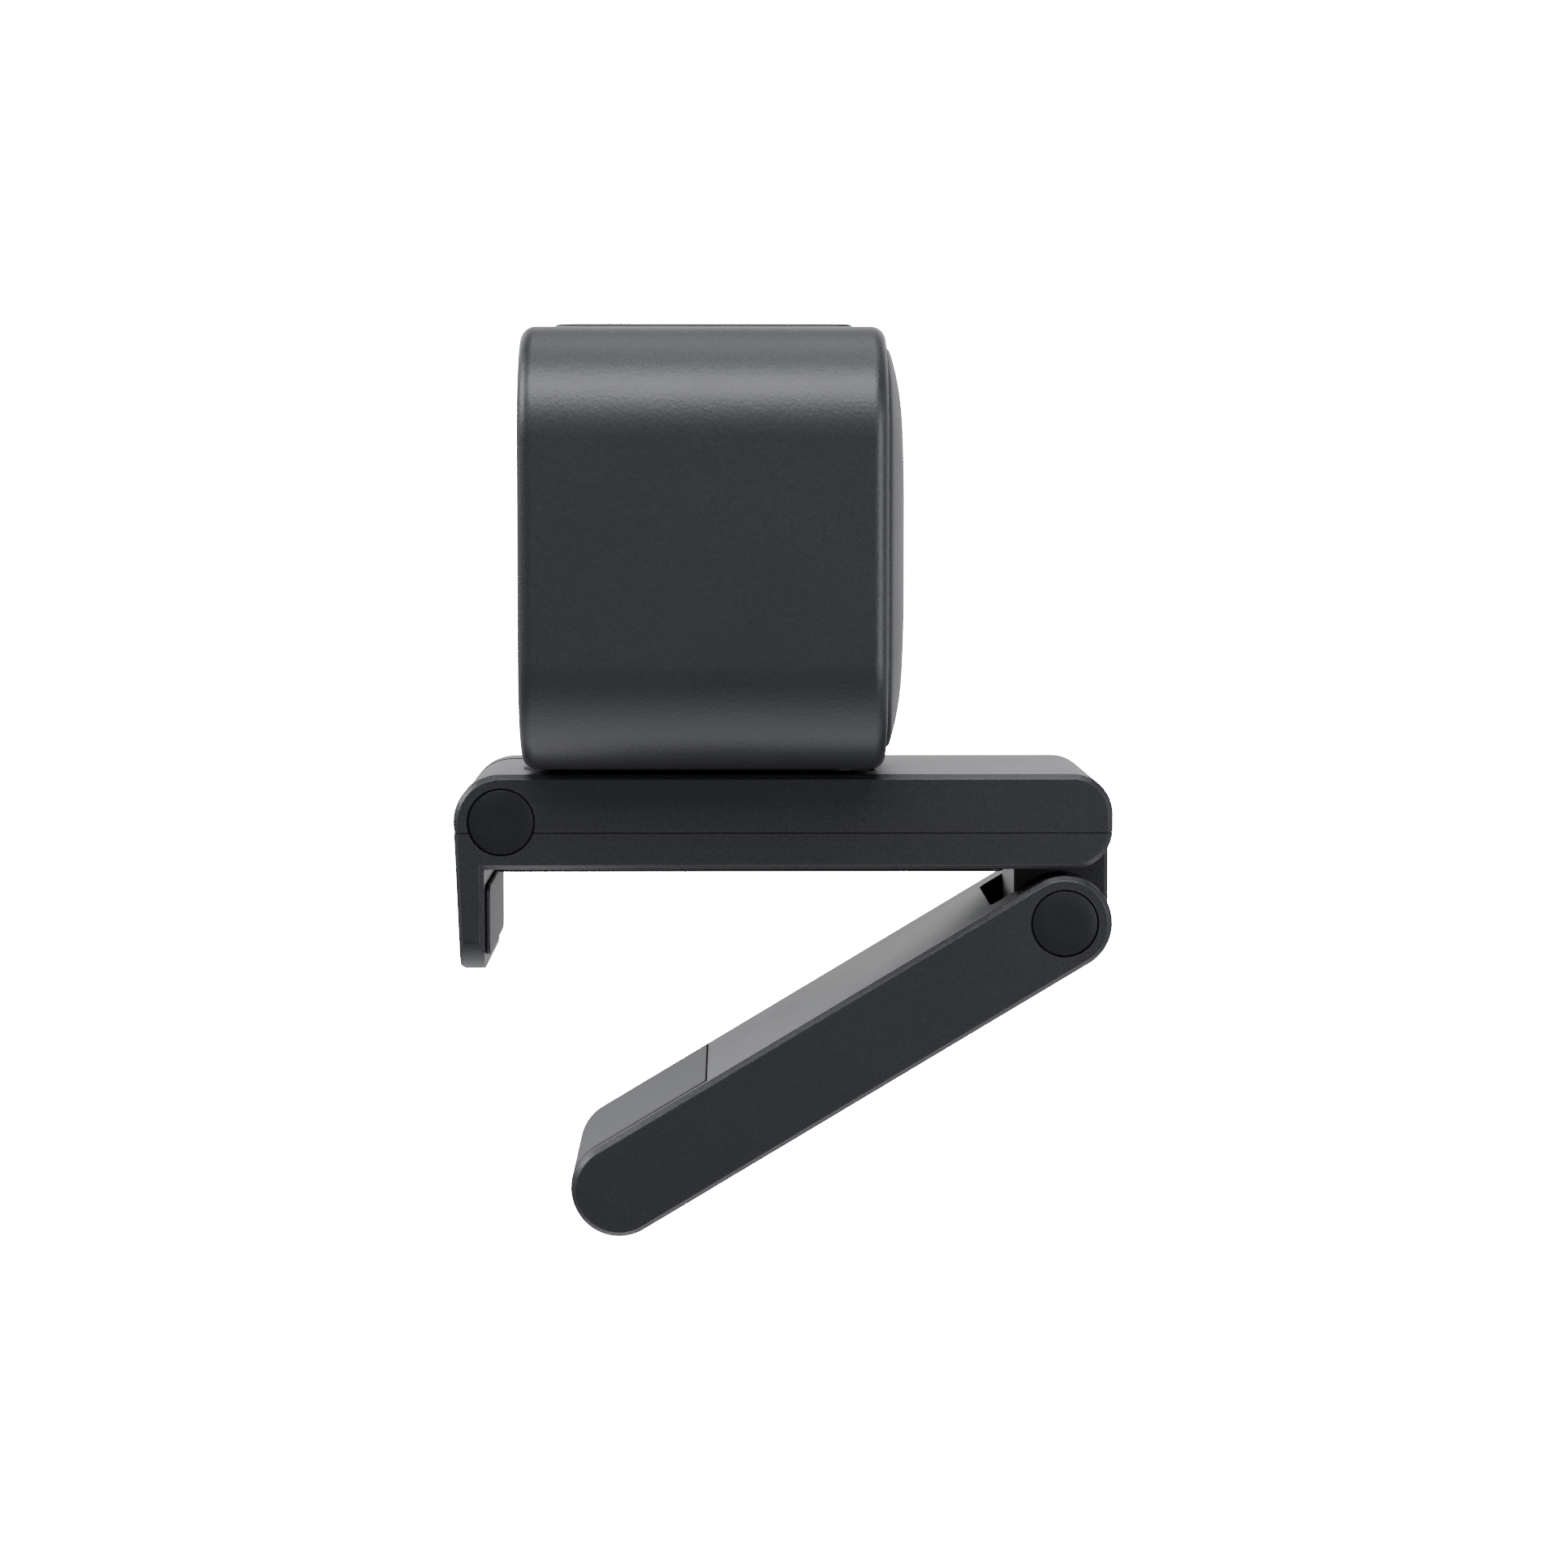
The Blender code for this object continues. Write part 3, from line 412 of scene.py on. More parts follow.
def moulded_shell():
    """Spark-eroded ABS: a fine even grain that scatters light, so faces read soft and edges sparkle."""
    colour = tuple(colours().shell)
    values = {"Roughness": 0.42, "IOR": 1.5, "Specular IOR Level": 0.3}
    material, tree, shader, place = begin("moulded_abs", colour, values)
    grain_mm = sizes().grain / MM
    fine = add_node(tree, "ShaderNodeTexNoise", {"Scale": per_metre(grain_mm), "Detail": 3.0, "Roughness": 0.6},
                    {"Vector": place})
    pits = add_node(tree, "ShaderNodeTexVoronoi", {"Scale": per_metre(grain_mm * 1.6)}, {"Vector": place})
    cloud = add_node(tree, "ShaderNodeTexNoise", {"Scale": per_metre(14.0), "Detail": 2.0}, {"Vector": place})
    tint(tree, shader, fine.outputs["Fac"], colour, 0.8, 1.22)
    vary(tree, shader, "Roughness", cloud.outputs["Fac"], 0.39, 0.46)
    height = add_node(tree, "ShaderNodeMath", {"operation": "ADD"},
                      {0: fine.outputs["Fac"], 1: pits.outputs["Distance"]})
    bump(tree, shader, height.outputs["Value"], 0.02, 0.7)
    return material


def satin_cap():
    """Polished-tool ABS: smoother than the shell, so the pin caps read a shade darker."""
    colour = tuple(colours().cap)
    values = {"Roughness": 0.42, "IOR": 1.5, "Specular IOR Level": 0.15}
    material, tree, shader, place = begin("satin_abs", colour, values)
    fine = add_node(tree, "ShaderNodeTexNoise", {"Scale": per_metre(0.12), "Detail": 2.0}, {"Vector": place})
    tint(tree, shader, fine.outputs["Fac"], colour, 0.93, 1.07)
    vary(tree, shader, "Roughness", fine.outputs["Fac"], 0.38, 0.46)
    bump(tree, shader, fine.outputs["Fac"], 0.004, 0.4)
    return material


def pad_rubber():
    """Moulded silicone rubber: matt, with a soft bloom of dust-fine grain."""
    colour = tuple(colours().rubber)
    values = {"Roughness": 0.5, "IOR": 1.43, "Specular IOR Level": 0.35}
    material, tree, shader, place = begin("silicone_rubber", colour, values)
    fine = add_node(tree, "ShaderNodeTexNoise", {"Scale": per_metre(0.1), "Detail": 3.0}, {"Vector": place})
    tint(tree, shader, fine.outputs["Fac"], colour, 0.88, 1.12)
    vary(tree, shader, "Roughness", fine.outputs["Fac"], 0.44, 0.58)
    bump(tree, shader, fine.outputs["Fac"], 0.01, 0.5)
    return material


def polished_bezel():
    """Polished polycarbonate: deep black, with the faint orange peel of moulding."""
    colour = tuple(colours().gloss)
    values = {"Roughness": 0.07, "IOR": 1.58, "Coat Weight": 0.5, "Coat Roughness": 0.03}
    material, tree, shader, place = begin("polished_polycarbonate", colour, values)
    peel = add_node(tree, "ShaderNodeTexNoise", {"Scale": per_metre(2.5), "Detail": 1.0}, {"Vector": place})
    vary(tree, shader, "Roughness", peel.outputs["Fac"], 0.05, 0.1)
    bump(tree, shader, peel.outputs["Fac"], 0.004, 0.3)
    return material


def metal(name, colour, roughness, line_mm, stretch):
    """Metal with fine machining lines: the pattern is stretched along the cut."""
    material, tree, shader, place = begin(name, colour, {"Metallic": 1.0, "Roughness": roughness})
    along = add_node(tree, "ShaderNodeMapping", {"Scale": stretch}, {"Vector": place})
    lines = add_node(tree, "ShaderNodeTexNoise", {"Scale": per_metre(line_mm), "Detail": 3.0},
                     {"Vector": along.outputs["Vector"]})
    tint(tree, shader, lines.outputs["Fac"], colour, 0.85, 1.1)
    vary(tree, shader, "Roughness", lines.outputs["Fac"], roughness * 0.75, roughness * 1.3)
    bump(tree, shader, lines.outputs["Fac"], 0.003, 0.5)
    return material


def window_glass():
    """Coated float glass: clear, and a little darker than the air round it."""
    values = {"Roughness": 0.02, "IOR": 1.52, "Transmission Weight": 1.0}
    material, tree, shader, place = begin("float_glass", (0.8, 0.83, 0.88), values)
    haze = add_node(tree, "ShaderNodeTexNoise", {"Scale": per_metre(4.0)}, {"Vector": place})
    vary(tree, shader, "Roughness", haze.outputs["Fac"], 0.01, 0.03)
    return material


def coated_lens():
    """Optical glass with a violet anti-reflection coating over a dark interior."""
    colour = linear("10141F")
    values = {"Roughness": 0.03, "IOR": 1.6, "Coat Weight": 1.0, "Coat Roughness": 0.02,
              "Coat Tint": (0.55, 0.4, 0.9, 1)}
    material, tree, shader, place = begin("coated_optical_glass", colour, values)
    haze = add_node(tree, "ShaderNodeTexNoise", {"Scale": per_metre(3.0)}, {"Vector": place})
    tint(tree, shader, haze.outputs["Fac"], colour, 0.8, 1.2)
    vary(tree, shader, "Roughness", haze.outputs["Fac"], 0.02, 0.05)
    return material


def circuit_board():
    """Solder resist over copper: green, with the tracks showing through as lighter lines."""
    colour = tuple(colours().board)
    material, tree, shader, place = begin("solder_resist", colour, {"Roughness": 0.35, "IOR": 1.5})
    tracks = add_node(tree, "ShaderNodeTexWave", {"Scale": per_metre(6.0), "Distortion": 4.0},
                      {"Vector": place})
    tint(tree, shader, tracks.outputs["Fac"], colour, 0.7, 1.5)
    vary(tree, shader, "Roughness", tracks.outputs["Fac"], 0.3, 0.45)
    return material


def plain_finish(name, colour, roughness, grain_mm, transmission=0.0):
    """Cast resin, clear moulding or soft filler: an even colour with a slight mottle."""
    values = {"Roughness": roughness, "Transmission Weight": transmission}
    material, tree, shader, place = begin(name, colour, values)
    mottle = add_node(tree, "ShaderNodeTexNoise", {"Scale": per_metre(grain_mm), "Detail": 2.0},
                      {"Vector": place})
    tint(tree, shader, mottle.outputs["Fac"], colour, 0.88, 1.12)
    vary(tree, shader, "Roughness", mottle.outputs["Fac"], roughness * 0.8, roughness * 1.2)
    return material


MAKERS = {
    "shell": moulded_shell, "cap": satin_cap, "pad": pad_rubber, "gloss": polished_bezel,
    "window": window_glass, "lens": coated_lens, "board": circuit_board,
    "trim": lambda: metal("anodised_aluminium", tuple(colours().trim), 0.3, 0.15, (1, 0.1, 1)),
    "steel": lambda: metal("turned_steel", tuple(colours().steel), 0.3, 0.12, (0.1, 1, 1)),
    "brass": lambda: metal("machined_brass", tuple(colours().brass), 0.28, 0.12, (1, 1, 0.1)),
    "chassis": lambda: metal("diecast_aluminium", linear("A9ACB0"), 0.45, 0.3, (1, 1, 1)),
    "chip": lambda: plain_finish("epoxy_resin", linear("18181A"), 0.4, 0.2),
    "gap_filler": lambda: plain_finish("silicone_gap_filler", linear("8FA3B5"), 0.8, 0.4),
    "clear": lambda: plain_finish("clear_polycarbonate", linear("DCE2E6"), 0.15, 1.0, 0.8),
}
MADE = {}


def finish_for(slot):
    """The material of one of the record's slots, made once."""
    if slot not in MADE:
        MADE[slot] = MAKERS[slot]()
    return MADE[slot]


# Repeats, made by Geometry Nodes

def ring_stack_tree():
    """Equal rings spaced along Z, each a round wire; its inputs are named sizes."""
    tree = bpy.data.node_groups.new("ring_stack", "GeometryNodeTree")
    socket = tree.interface.new_socket
    socket("Geometry", in_out="INPUT", socket_type="NodeSocketGeometry")
    socket("Count", in_out="INPUT", socket_type="NodeSocketInt")
    for name in ("Spacing", "Radius", "Wire"):
        socket(name, in_out="INPUT", socket_type="NodeSocketFloat")
    socket("Material", in_out="INPUT", socket_type="NodeSocketMaterial")
    socket("Geometry", in_out="OUTPUT", socket_type="NodeSocketGeometry")
    inputs = add_node(tree, "NodeGroupInput").outputs
    step = add_node(tree, "ShaderNodeCombineXYZ", None, {"Z": inputs["Spacing"]})
    line = add_node(tree, "GeometryNodeMeshLine", None, {"Count": inputs["Count"], "Offset": step.outputs[0]})
    ring = add_node(tree, "GeometryNodeCurvePrimitiveCircle", {"Resolution": 64}, {"Radius": inputs["Radius"]})
    wire = add_node(tree, "GeometryNodeCurvePrimitiveCircle", {"Resolution": 8}, {"Radius": inputs["Wire"]})
    tube = add_node(tree, "GeometryNodeCurveToMesh", None, {"Curve": ring.outputs["Curve"],
                                                            "Profile Curve": wire.outputs["Curve"]})
    copies = add_node(tree, "GeometryNodeInstanceOnPoints", None, {"Points": line.outputs["Mesh"],
                                                                   "Instance": tube.outputs["Mesh"]})
    real = add_node(tree, "GeometryNodeRealizeInstances", None, {"Geometry": copies.outputs["Instances"]})
    painted = add_node(tree, "GeometryNodeSetMaterial", None, {"Geometry": real.outputs["Geometry"],
                                                               "Material": inputs["Material"]})
    add_node(tree, "NodeGroupOutput", None, {"Geometry": painted.outputs["Geometry"]})
    return tree


def ring_stack(name, count, spacing, radius, wire, place, body, slot, extra=None):
    """Rings from the tree above, as a plain mesh moved to its place by a matrix."""
    tree = bpy.data.node_groups.get("ring_stack") or ring_stack_tree()
    piece = link(name, bpy.data.meshes.new(name))
    repeat = piece.modifiers.new("rings", "NODES")
    repeat.node_group = tree
    values = {"Count": count, "Spacing": spacing * MM, "Radius": radius * MM, "Wire": wire * MM,
              "Material": finish_for(slot)}
    for item in tree.interface.items_tree:
        if item.in_out == "INPUT" and item.name in values:
            repeat[item.identifier] = values[item.name]
    bake(piece)
    return finish_piece(piece, finish_for(slot), body, turn=extra @ place if extra else place, sharp=60)


# The object's pieces

def head_outline(reduce=0.0):
    radius = max(sizes().head_corner / MM - reduce, 0.5)
    return rectangle(0, HEAD_Z, (HEAD_HIGH[0] - HEAD_LOW[0]) / 2 - reduce,
                     (HEAD_HIGH[2] - HEAD_LOW[2]) / 2 - reduce, radius, 20)


def leg_turn():
    """Turns a piece drawn folded, flat under the arm, to the leg's place at rest."""
    there = Vector((0, LEG_Y, LEG_Z)) * MM
    return Matrix.Translation(there) @ Matrix.Rotation(LEG_TURN, 4, "X") @ Matrix.Translation(-there)


def flush_caps(prefix, y, z, body, turn=None):
    """Two shallow-domed caps over a pin's ends."""
    chamfer = 0.14
    for side, sign in (("right", 1), ("left", -1)):
        outer, inner = sign * CAP_HIGH[0], sign * CAP_LOW[0]
        edge = sign * chamfer
        profile = [(inner, CAP_RADIUS - chamfer), (inner + edge, CAP_RADIUS), (outer - edge, CAP_RADIUS),
                   (outer - edge * 0.3, CAP_RADIUS - chamfer * 0.3), (outer, CAP_RADIUS - chamfer),
                   (outer, CAP_RADIUS * 0.5)]
        cap = domed(f"{prefix}_cap_{side}_surface", profile, y, z, "X")
        finish_piece(cap, finish_for("cap"), body, [f"{prefix}_cap_{side}"], turn)


def ear_pockets(piece, y, z):
    """The caps' pockets and the pin's bore through a pair of ears."""
    for sign in (1, -1):
        low, high = sorted((sign * (CAP_LOW[0] - 0.1), sign * FAR))
        drill(piece, y, z, CAP_RADIUS + POCKET_GAP, low, high, "X")
    drill(piece, y, z, PIN_BORE, -FAR, FAR, "X", 32)


class WEBCAM_OT_head_housing(Operator):
    """Make the head's rounded tube and the plate let into its top"""
    bl_idname = "webcam.head_housing"
    bl_label = "Head Housing"

    def execute(self, context):
        fillet = sizes().head_fillet / MM
        wall = sizes().wall / MM
        housing = loft("head_housing_surface", rounded(head_outline, HEAD_LOW[1], HEAD_HIGH[1], fillet), "Y")
        cut(housing, head_outline(wall), -FAR, FAR, "Y")
        low, high = span("top_plate")
        half_x, half_y = high[0], (high[1] - low[1]) / 2
        pocket = rectangle(0, HEAD_Y, half_x + PLATE_GAP, half_y + PLATE_GAP, PLATE_CORNER + PLATE_GAP)
        cut(housing, pocket, low[2] - 0.1, FAR, "Z")
        drill(housing, 0, HEAD_Y, HEAD_STUD_HOLE, -FAR, HEAD_LOW[2] + 5, "Z", 32)
        finish_piece(housing, finish_for("shell"), "camera_head", ["head_housing"])
        outline = rectangle(0, HEAD_Y, half_x, half_y, PLATE_CORNER)
        plate = loft("top_plate_surface", chamfered(outline, low[2], high[2], 0.16, 0.05), "Z")
        finish_piece(plate, finish_for("shell"), "camera_head", ["top_plate"])
        return {"FINISHED"}


class WEBCAM_OT_rear_cover(Operator):
    """Make the shallow domed rear cover with its USB port"""
    bl_idname = "webcam.rear_cover"
    bl_label = "Rear Cover"

    def execute(self, context):
        low, high = span("rear_cover")
        rear = HEAD_HIGH[1]
        rise = high[1] - rear
        inside = sizes().wall / MM + sizes().fit / MM
        edge = head_outline(inside)
        rings = [(low[1], edge), (rear + 0.05, edge), (rear + 0.13, scaled(edge, 0, HEAD_Z, 0.998)),
                 (rear + 0.22, scaled(edge, 0, HEAD_Z, 0.993))]
        steps = 34
        for i in range(steps):
            factor = 0.985 * (1 - i / steps) ** 1.15
            crown = 0.55 * (1 - factor ** 2)
            rim = 0.36 * (1 - (1 - min(1, (1 - factor) / 0.33)) ** 2)
            rings.append((rear + 0.3 + (rise - 0.3) * (crown + rim) / 0.91, scaled(edge, 0, HEAD_Z, factor)))
        cover = loft("rear_cover_surface", rings, "Y")
        cut(cover, head_outline(inside + 1.5), -FAR, rear - 1.2, "Y")
        port = span("usb_receptacle")
        port_z = (port[0][2] + port[1][2]) / 2
        cut(cover, rectangle(0, port_z, PORT_HALF_WIDTH, PORT_HALF_HEIGHT, PORT_CORNER), -FAR, FAR, "Y")
        finish_piece(cover, finish_for("shell"), "camera_head", ["rear_cover"])
        return {"FINISHED"}


class WEBCAM_OT_front(Operator):
    """Make the polished bezel, the lens ring, the window and the status light"""
    bl_idname = "webcam.front"
    bl_label = "Front"

    def execute(self, context):
        face = span("front_bezel")[0][1]
        ring_low, ring_high = span("lens_trim_ring")
        glass_low, glass_high = span("lens_window")
        ring, window = ring_high[0], glass_high[0]
        back, seat = face + BEZEL_DEPTH, ring_high[1] + 0.1
        outline = head_outline(sizes().wall / MM + sizes().fit / MM)
        bezel = loft("front_bezel_surface", chamfered(outline, face, back, 0.3, 0.08), "Y")
        drill(bezel, 0, HEAD_Z, ring + 0.1, -FAR, seat, "Y", 96)
        drill(bezel, 0, HEAD_Z, window - 0.9, -FAR, FAR, "Y", 96)
        top = (span("light_pipe")[0][2] + span("light_pipe")[1][2]) / 2
        for x in (-MICROPHONE_X, MICROPHONE_X):
            drill(bezel, x, top, MICROPHONE_HOLE, -FAR, FAR, "Y", 24)
        drill(bezel, 0, top, LIGHT_HOLE, -FAR, FAR, "Y", 32)
        finish_piece(bezel, finish_for("gloss"), "camera_head", ["front_bezel"])
        front, rear, bore = ring_low[1], ring_high[1], window + 0.1
        profile = [(rear, bore), (front + 0.5, bore), (front + 0.12, bore + 0.3), (front, bore + 0.5),
                   (front, ring - 0.45), (front + 0.06, ring - 0.25), (front + 0.25, ring - 0.06),
                   (front + 0.45, ring), (rear, ring)]
        trim = turned("lens_ring_surface", profile, 0, HEAD_Z, "Y", 128)
        finish_piece(trim, finish_for("trim"), "camera_head", ["lens_trim_ring"])
        profile = [(glass_high[1], window - 0.1), (glass_high[1] - 0.1, window), (glass_low[1] + 0.1, window),
                   (glass_low[1], window - 0.1)]
        glass = domed("lens_window_surface", profile, 0, HEAD_Z, "Y", 128)
        finish_piece(glass, finish_for("window"), "camera_head", ["lens_window"])
        pipe_low, pipe_high = span("light_pipe")
        profile = [(pipe_high[1], 1.0), (pipe_low[1] + 0.15, 1.0), (pipe_low[1] + 0.04, 0.85),
                   (pipe_low[1], 0.5)]
        pipe = domed("light_pipe_surface", profile, 0, top, "Y", 48)
        finish_piece(pipe, finish_for("clear"), "camera_head", ["light_pipe"])
        return {"FINISHED"}


class WEBCAM_OT_lens(Operator):
    """Make the lens hood with its baffle rings and the domed front element"""
    bl_idname = "webcam.lens"
    bl_label = "Lens"

    def execute(self, context):
        low, high = span("lens_barrel")
        front, rear, hood = low[1], high[1], high[0]
        step, shoulder = front + HOOD_DEPTH, front + HOOD_LENGTH
        profile = [(rear, BARREL_BORE), (step, BARREL_BORE), (step, HOOD_BORE), (front + 0.2, HOOD_BORE),
                   (front, HOOD_BORE + 0.2), (front, hood - 0.3), (front + 0.3, hood), (shoulder, hood),
                   (shoulder, BARREL_RADIUS), (rear, BARREL_RADIUS)]
        barrel = turned("lens_barrel_surface", profile, 0, HEAD_Z, "Y")
        finish_piece(barrel, finish_for("cap"), "camera_head", ["lens_barrel"])
        glass_low, glass_high = span("lens_front_element")
        radius = glass_high[0]
        profile = [(glass_high[1], radius)]
        for i in range(9):
            share = math.cos(math.radians(90 * i / 9))
            profile.append((glass_low[1] + LENS_BULGE * share ** 2, max(radius * share, 0.4)))
        element = domed("lens_element_surface", profile, 0, HEAD_Z, "Y")
        finish_piece(element, finish_for("lens"), "camera_head", ["lens_front_element"], sharp=50)
        place = (Matrix.Translation(Vector((0, front - 0.05, HEAD_Z)) * MM)
                 @ Matrix.Rotation(math.radians(90), 4, "X"))
        count = sizes().baffle_rings
        for i in range(count):
            radius = RIB_RADIUS + RIB_SPREAD * i / max(count - 1, 1)
            ring_stack(f"hood_rib_{i + 1}", 1, 0.0, radius, RIB_WIRE, place, "camera_head", "cap")
        return {"FINISHED"}


class WEBCAM_OT_arm(Operator):
    """Make the clip arm's two shells with the lip, the pads and the front caps"""
    bl_idname = "webcam.arm"
    bl_label = "Clip Arm"

    def execute(self, context):
        chamfer, soft = sizes().arm_chamfer / MM, sizes().edge_round / MM
        rear = ARM_REAR - ARM_CORNER
        back = ARM_REAR - ARM_WALL
        slot_rear = span("tilt_bracket")[1][1] + 0.6
        lower_rear = arc(rear, ARM_BOTTOM + ARM_CORNER, ARM_CORNER, 270, 360, 16)
        side = (arc(TILT_Y, TILT_Z, ARM_RADIUS, 90, 270, 48) + lower_rear
                + arc(rear, ARM_TOP - ARM_CORNER, ARM_CORNER, 0, 90, 16))
        upper = loft("arm_upper_surface", chamfered(side, -ARM_HALF, ARM_HALF, chamfer, soft), "X")
        everything = between(-FAR, FAR, -FAR, FAR)
        cut(upper, everything, -FAR, PARTING + PARTING_GAP / 2, "Z")
        cut(upper, between(-SLOT_HALF, SLOT_HALF, -FAR, slot_rear), -FAR, FAR, "Z")
        cut(upper, between(-SLOT_HALF, SLOT_HALF, slot_rear + ARM_WALL, back), -FAR, ARM_TOP - ARM_WALL, "Z")
        ear_pockets(upper, TILT_Y, TILT_Z)
        finish_piece(upper, finish_for("shell"), "clip_arm", ["arm_upper_shell"])
        front = TILT_Y - ARM_RADIUS
        lip_low, lip_inner, foot = ARM_LOW[2], front + LIP_THICKNESS, front + LIP_TAPER
        side = ([(front, ARM_TOP - 2), (front, TILT_Z), (foot, lip_low + 0.5), (foot + 0.5, lip_low),
                 (lip_inner, lip_low), (lip_inner, ARM_BOTTOM)] + lower_rear + [(ARM_REAR, ARM_TOP - 2)])
        lower = loft("arm_lower_surface", chamfered(side, -ARM_HALF, ARM_HALF, chamfer, soft), "X")
        block = ([(LEG_Y + ARM_RADIUS, ARM_TOP - 3), (LEG_Y - ARM_RADIUS, ARM_TOP - 3)]
                 + arc(LEG_Y, LEG_Z, ARM_RADIUS, 180, 360, 48))
        knuckle = SLOT_HALF - 0.15
        carve(lower, loft("block", chamfered(block, -knuckle, knuckle, 0.3, 0.06), "X"), "UNION")
        cut(lower, everything, PARTING - PARTING_GAP / 2, FAR, "Z")
        floor = ARM_BOTTOM + ARM_WALL
        cut(lower, between(-SLOT_HALF, SLOT_HALF, TILT_Y, slot_rear), floor, FAR, "Z")
        cut(lower, between(-SLOT_HALF, SLOT_HALF, slot_rear + ARM_WALL, back), floor, FAR, "Z")
        drill(lower, TILT_Y, TILT_Z, ARM_RADIUS + 0.1, -SLOT_HALF, SLOT_HALF, "X", 96)
        self.round_lip(lower, lip_low, front, lip_inner)
        ear_pockets(lower, TILT_Y, TILT_Z)
        drill(lower, LEG_Y, LEG_Z, PIN_BORE, -FAR, FAR, "X", 32)
        finish_piece(lower, finish_for("shell"), "clip_arm", ["arm_lower_shell"])
        self.pads()
        flush_caps("front", TILT_Y, TILT_Z, "clip_arm")
        return {"FINISHED"}

    def round_lip(self, lower, lip_low, front, lip_inner):
        """Rounds the lip's two lower corners."""
        x, z = ARM_HALF - LIP_CORNER, lip_low + LIP_CORNER
        edge = arc(x, z, LIP_CORNER, 270, 360, 16)
        right = edge + [(FAR, z), (FAR, lip_low - 5), (x, lip_low - 5)]
        cut(lower, right, front - 1, lip_inner + 1, "Y")
        left = [(-across, height) for across, height in reversed(right)]
        cut(lower, left, front - 1, lip_inner + 1, "Y")

    def pads(self):
        low, high = span("arm_rest_pad")
        outline = between(low[0], high[0], low[1], high[1], 1.5)
        pad = loft("arm_rest_pad_surface", chamfered(outline, low[2], high[2], 0.1, 0.03), "Z")
        finish_piece(pad, finish_for("pad"), "clip_arm", ["arm_rest_pad"])
        low, high = span("lip_pad")
        outline = between(low[0], high[0], low[2], high[2], 1.2)
        pad = loft("lip_pad_surface", chamfered(outline, low[1], high[1], 0.1, 0.04), "Y")
        finish_piece(pad, finish_for("pad"), "clip_arm", ["lip_pad"])


class WEBCAM_OT_bracket(Operator):
    """Make the tilt bracket with its seat plate"""
    bl_idname = "webcam.bracket"
    bl_label = "Tilt Bracket"

    def execute(self, context):
        low, high = span("tilt_bracket")
        radius, half = TILT_Y - low[1], high[0]
        top, bottom = TILT_Z + radius, TILT_Z + radius - BRACKET_DEPTH
        drop = math.degrees(math.asin((TILT_Z - bottom) / radius))
        side = (arc(TILT_Y, TILT_Z, radius, 90, 360 - drop, 64) + [(high[1], bottom), (high[1], top)])
        bracket = loft("tilt_bracket_surface", chamfered(side, -half, half, 0.12, 0.05), "X")
        seat = between(-SEAT_HALF, SEAT_HALF, SEAT_FRONT_Y, high[1] - 0.5, 3.5)
        carve(bracket, loft("seat", chamfered(seat, top - 1, high[2], 0.06, 0.02), "Z"), "UNION")
        drill(bracket, 0, HEAD_Y, BRACKET_STUD_HOLE, -FAR, FAR, "Z", 32)
        drill(bracket, TILT_Y, TILT_Z, PIN_BORE, -FAR, FAR, "X", 32)
        finish_piece(bracket, finish_for("shell"), "tilt_bracket", ["tilt_bracket"])
        return {"FINISHED"}


